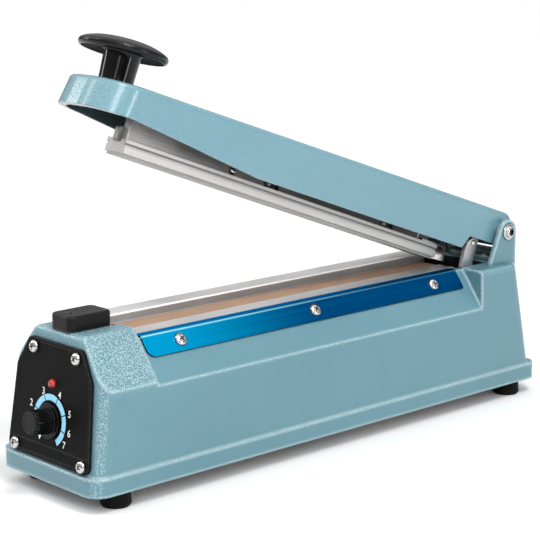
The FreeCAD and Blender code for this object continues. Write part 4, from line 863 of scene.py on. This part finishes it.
digit("2", angle=-70, radius=16.9)
digit("3", angle=-26, radius=15.0)
digit("4", angle=25.5, radius=15.4)
digit("5", angle=68, radius=16.7)
digit("6", angle=101, radius=16.4)
digit("7", angle=127, radius=16.0)
lamp_red, tree, shader = new_material("lamp_red", (0.30, 0.001, 0.001), 0.10, specular=0.7)
shader.inputs["Coat Weight"].default_value = 0.6
shader.inputs["Coat Roughness"].default_value = 0.04
grain = add_group(tree, moulded, Scale=900.0)
shade(tree, shader, grain["Tone"], (0.22, 0.0, 0.0), (0.42, 0.004, 0.003))
lens_profile = [(0, 2.2), (0.9, 1.95), (1.75, 1.3), (2.25, 0.35), (2.3, 0), (2.3, -5.5), (0, -5.5)]
lens_mesh = mesh_of("ready_lamp", spun(lens_profile, steps=9), sharp=8.0)
add_piece("ready_lamp", lens_mesh, lamp_red, panel_side @ place_at(0, lamp_up, panel_thickness, ("Z", 14)),
          "base", "indicator_lamp")

# Timer knob: one black moulding, a ribbed grip on a round skirt, pressed on the shaft of the timer.
# A small white triangle printed on the panel below it marks the off position.


def ribs(radius, height, angle):
    """Twenty grooves round the grip, none on its skirt or on its top."""
    if height < 4.2 or height > 12.1 or radius < 5.0:
        return radius
    return radius - 0.42 * max(0.0, math.cos(20 * angle)) ** 0.7 + 0.12


grip = [(3.05, 0.3), (8.75, 0.3), (9.0, 0.5), (9.0, 1.5), (8.8, 1.7), (7.0, 1.8), (6.75, 2.1), (6.6, 3.4),
        (6.5, 4.25), (6.25, 6.4), (6.0, 9.2), (5.75, 11.8), (5.6, 12.1), (5.3, 12.3), (4.9, 12.3),
        (4.6, 12.1), (0, 12.1)]
knob_black = moulding("knob_black", (0.002, 0.002, 0.002), (0.004, 0.004, 0.004), 0.26, edge=0.0002,
                      specular=0.16)
grip_mesh = mesh_of("timer_grip", spun(grip, steps=200, flute=ribs), sharp=28.0)
add_piece("timer_grip", grip_mesh, knob_black, dial, "timer", "timer_knob")
off_mark = ((-8.7, -8.3), (-5.7, -8.3), (-7.2, -10.9))
form = bmesh.new()
form.faces.new([form.verts.new((x * mm, y * mm, 0.06 * mm)) for x, y in off_mark])
add_piece("timer_mark", mesh_of("timer_mark", form), number_white, dial, "base")

# Handle: a mushroom knob turned from black phenolic, screwed on a stud through the arm. The cap is
# polished, the stem is polished brighter, and the hollow under the cap is left dull from the lathe.


def flowing(points):
    """Smooth curve through the given points."""
    steps = 6
    points = [Vector(point) for point in points]
    padded = [points[0] * 2 - points[1]] + points + [points[-1] * 2 - points[-2]]
    curve = []
    for before, start, end, after in zip(padded, padded[1:], padded[2:], padded[3:]):
        for k in range(steps):
            t = k / steps
            point = (start * 2 + (end - before) * t + (before * 2 - start * 5 + end * 4 - after) * t * t
                     + (start * 3 - before - end * 3 + after) * t ** 3) / 2
            curve.append((max(point.x, 0.0), point.y))
    return curve + [tuple(points[-1])]


def polish(name, dark, light, specular, smoothest, roughest):
    material, tree, shader = new_material(name, light, smoothest, specular=specular)
    grain = add_group(tree, moulded, Scale=260.0)
    relief(tree, shader, grain["Height"], strength=0.02, distance=0.0003, edge=0.0003)
    shade(tree, shader, grain["Tone"], dark, light)
    drift_roughness(tree, shader, grain["Tone"], smoothest, roughest)
    return material


cap_black = polish("polished_black", (0.002, 0.002, 0.002), (0.004, 0.004, 0.004), specular=0.26,
                   smoothest=0.23, roughest=0.30)
stem_black = polish("stem_black", (0.0008, 0.0008, 0.0008), (0.0015, 0.0015, 0.0015), specular=0.22,
                    smoothest=0.10, roughest=0.14)
dull_black = moulding("unpolished_black", (0.003, 0.003, 0.003), (0.005, 0.005, 0.005), 0.7, specular=0.06)
outline = [(8.8, 0.2), (8.85, 4.0), (9.1, 9.0), (9.45, 14.2), (10.3, 16.1), (12.6, 16.8), (16.0, 16.3),
           (19.6, 15.3), (21.2, 14.8), (22.2, 15.5), (22.6, 16.9), (21.9, 18.35), (19.2, 19.85),
           (14.0, 21.4), (7.0, 22.35), (0.0, 22.6)]
handle_form = spun([(3.05, 0.0), (8.6, 0.0)] + flowing(outline), steps=96)
handle_mesh = mesh_of("handle_mushroom", handle_form, sharp=50.0)
for face in handle_mesh.polygons:
    from_axis, height = face.center.xy.length / mm, face.center.z / mm
    if face.normal.z < -0.08 and 9.9 < from_axis < 21.0 and height > 14.0:
        face.material_index = 1
    elif from_axis < 10.4 and height < 16.2:
        face.material_index = 2
add_piece("handle_mushroom", handle_mesh, (cap_black, dull_black, stem_black),
          arm_place @ place_at(-285.0, 0, 11.0), "arm", "handle_knob")

# Hinge bolt: a bright button head with a hexagon socket on the near side, its shank through both ears
# and the arm, and its threaded end in the nut on the far side.
head_curve = [math.pi / 2 * k / 10 for k in range(11)]
bolt_profile = [(3.55 * math.sin(angle), 1.05 + 1.95 * math.cos(angle)) for angle in head_curve]
# Its hexagon socket and the thin ring under its head carry painted shade.
bolt_profile += [(3.9, 0.95), (4.5, 0.9), (4.7, 0.7), (4.7, shadow_ring_height), (4.95, shadow_ring_height),
                 (4.95, 0.0), (2.44, 0.0), (2.44, -63.6), (2.0, -64.3), (0, -64.3)]
hexagon = [(2.2 * math.cos(math.pi * k / 3), 2.2 * math.sin(math.pi * k / 3)) for k in range(6)]
bolt_mesh = carved("hinge_button_bolt", spun(bolt_profile, steps=64), prism(hexagon, 0.9, 4.0))
add_piece("hinge_button_bolt", mark_recess(bolt_mesh, depth=0.95, reach=2.4, rim=4.7), screw_finish,
          place_at(151.84, -29.4, 97.3, ("X", 90), ("Z", 10)), "base", "hinge_bolt")

# Springs: wound steel wire. One lifts the arm from under the hinge, two press the bar down in the arm,
# and a small one returns the switch plunger.


def coiled(name, points, wire):
    """Round wire along a line of points."""
    path = bpy.data.curves.new(name, "CURVE")
    path.dimensions = "3D"
    path.bevel_depth = wire * mm
    path.bevel_resolution = 3
    path.use_fill_caps = True
    line = path.splines.new("POLY")
    line.points.add(len(points) - 1)
    for knot, point in zip(line.points, points):
        knot.co = (*[value * mm for value in point], 1)
    rough = in_scene(name, path)
    mesh = evaluated(rough)
    bpy.data.objects.remove(rough)
    for face in mesh.polygons:
        face.use_smooth = True
    return mesh


def helix(radius, low, high, turns):
    """Coil about the z axis whose first and last turns lie flat."""
    count = int(turns * 22)
    points = []
    for k in range(count + 1):
        share = k / count
        climb = min(1.0, max(0.0, (share * turns - 0.8) / (turns - 1.6)))
        angle = 2 * math.pi * turns * share
        points.append((radius * math.cos(angle), radius * math.sin(angle), low + (high - low) * climb))
    return points


for label, station, low, keep in (("front", -170.0, -15.35, 0.59), ("rear", -75.0, -17.11, 0.62)):
    place = arm_place @ place_at(station, 0, 0)
    coil_mesh = coiled("bar_coil_" + label, helix(4.36, low + 0.6, 7.0, turns=9.5), wire=0.58)
    coil = add_piece("bar_coil_" + label, coil_mesh, dull_steel, place, "arm", "bar_spring_" + label)
    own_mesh(coil)
plunger_place = place_at(17.0 - 161.16, 0, 0)
coil_mesh = coiled("plunger_coil", helix(2.2, 75.05, 77.35, turns=3.5), wire=0.33)
coil = add_piece("plunger_coil", coil_mesh, dull_steel, plunger_place, "base", "plunger_spring")
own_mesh(coil)
hinge_place = place_at(151.84, 0, 97.3)
lift_radius, lift_side, lift_width, lift_turns, steps = 5.7, 14.0, 10.2, 5.75, 130
lift_line = [(-lift_radius, lift_side, -17.3 + 17.0 * k / 6) for k in range(6)]
for k in range(steps + 1):
    angle = 2 * math.pi * lift_turns * k / steps
    lift_line.append((-lift_radius * math.cos(angle), lift_side - lift_width * k / steps,
                      lift_radius * math.sin(angle)))
add_piece("lift_spring", coiled("lift_spring", lift_line, wire=0.88), dull_steel, hinge_place, "base",
          "return_spring")

# Timer side and transformer, out of sight in the housing: a green board with its parts, a laminated
# core of dull steel and a coil of enamelled copper wire.
board_green = moulding("board_green", (0.015, 0.10, 0.04), (0.03, 0.16, 0.07), 0.4)
copper = metal("copper_wire", (0.50, 0.21, 0.09), (0.66, 0.31, 0.15), 0.35)
coat(("timer_circuit_board",), board_green)
coat(("transformer_coil", "rear_terminal"), copper)
coat(("transformer_core",), dull_steel)
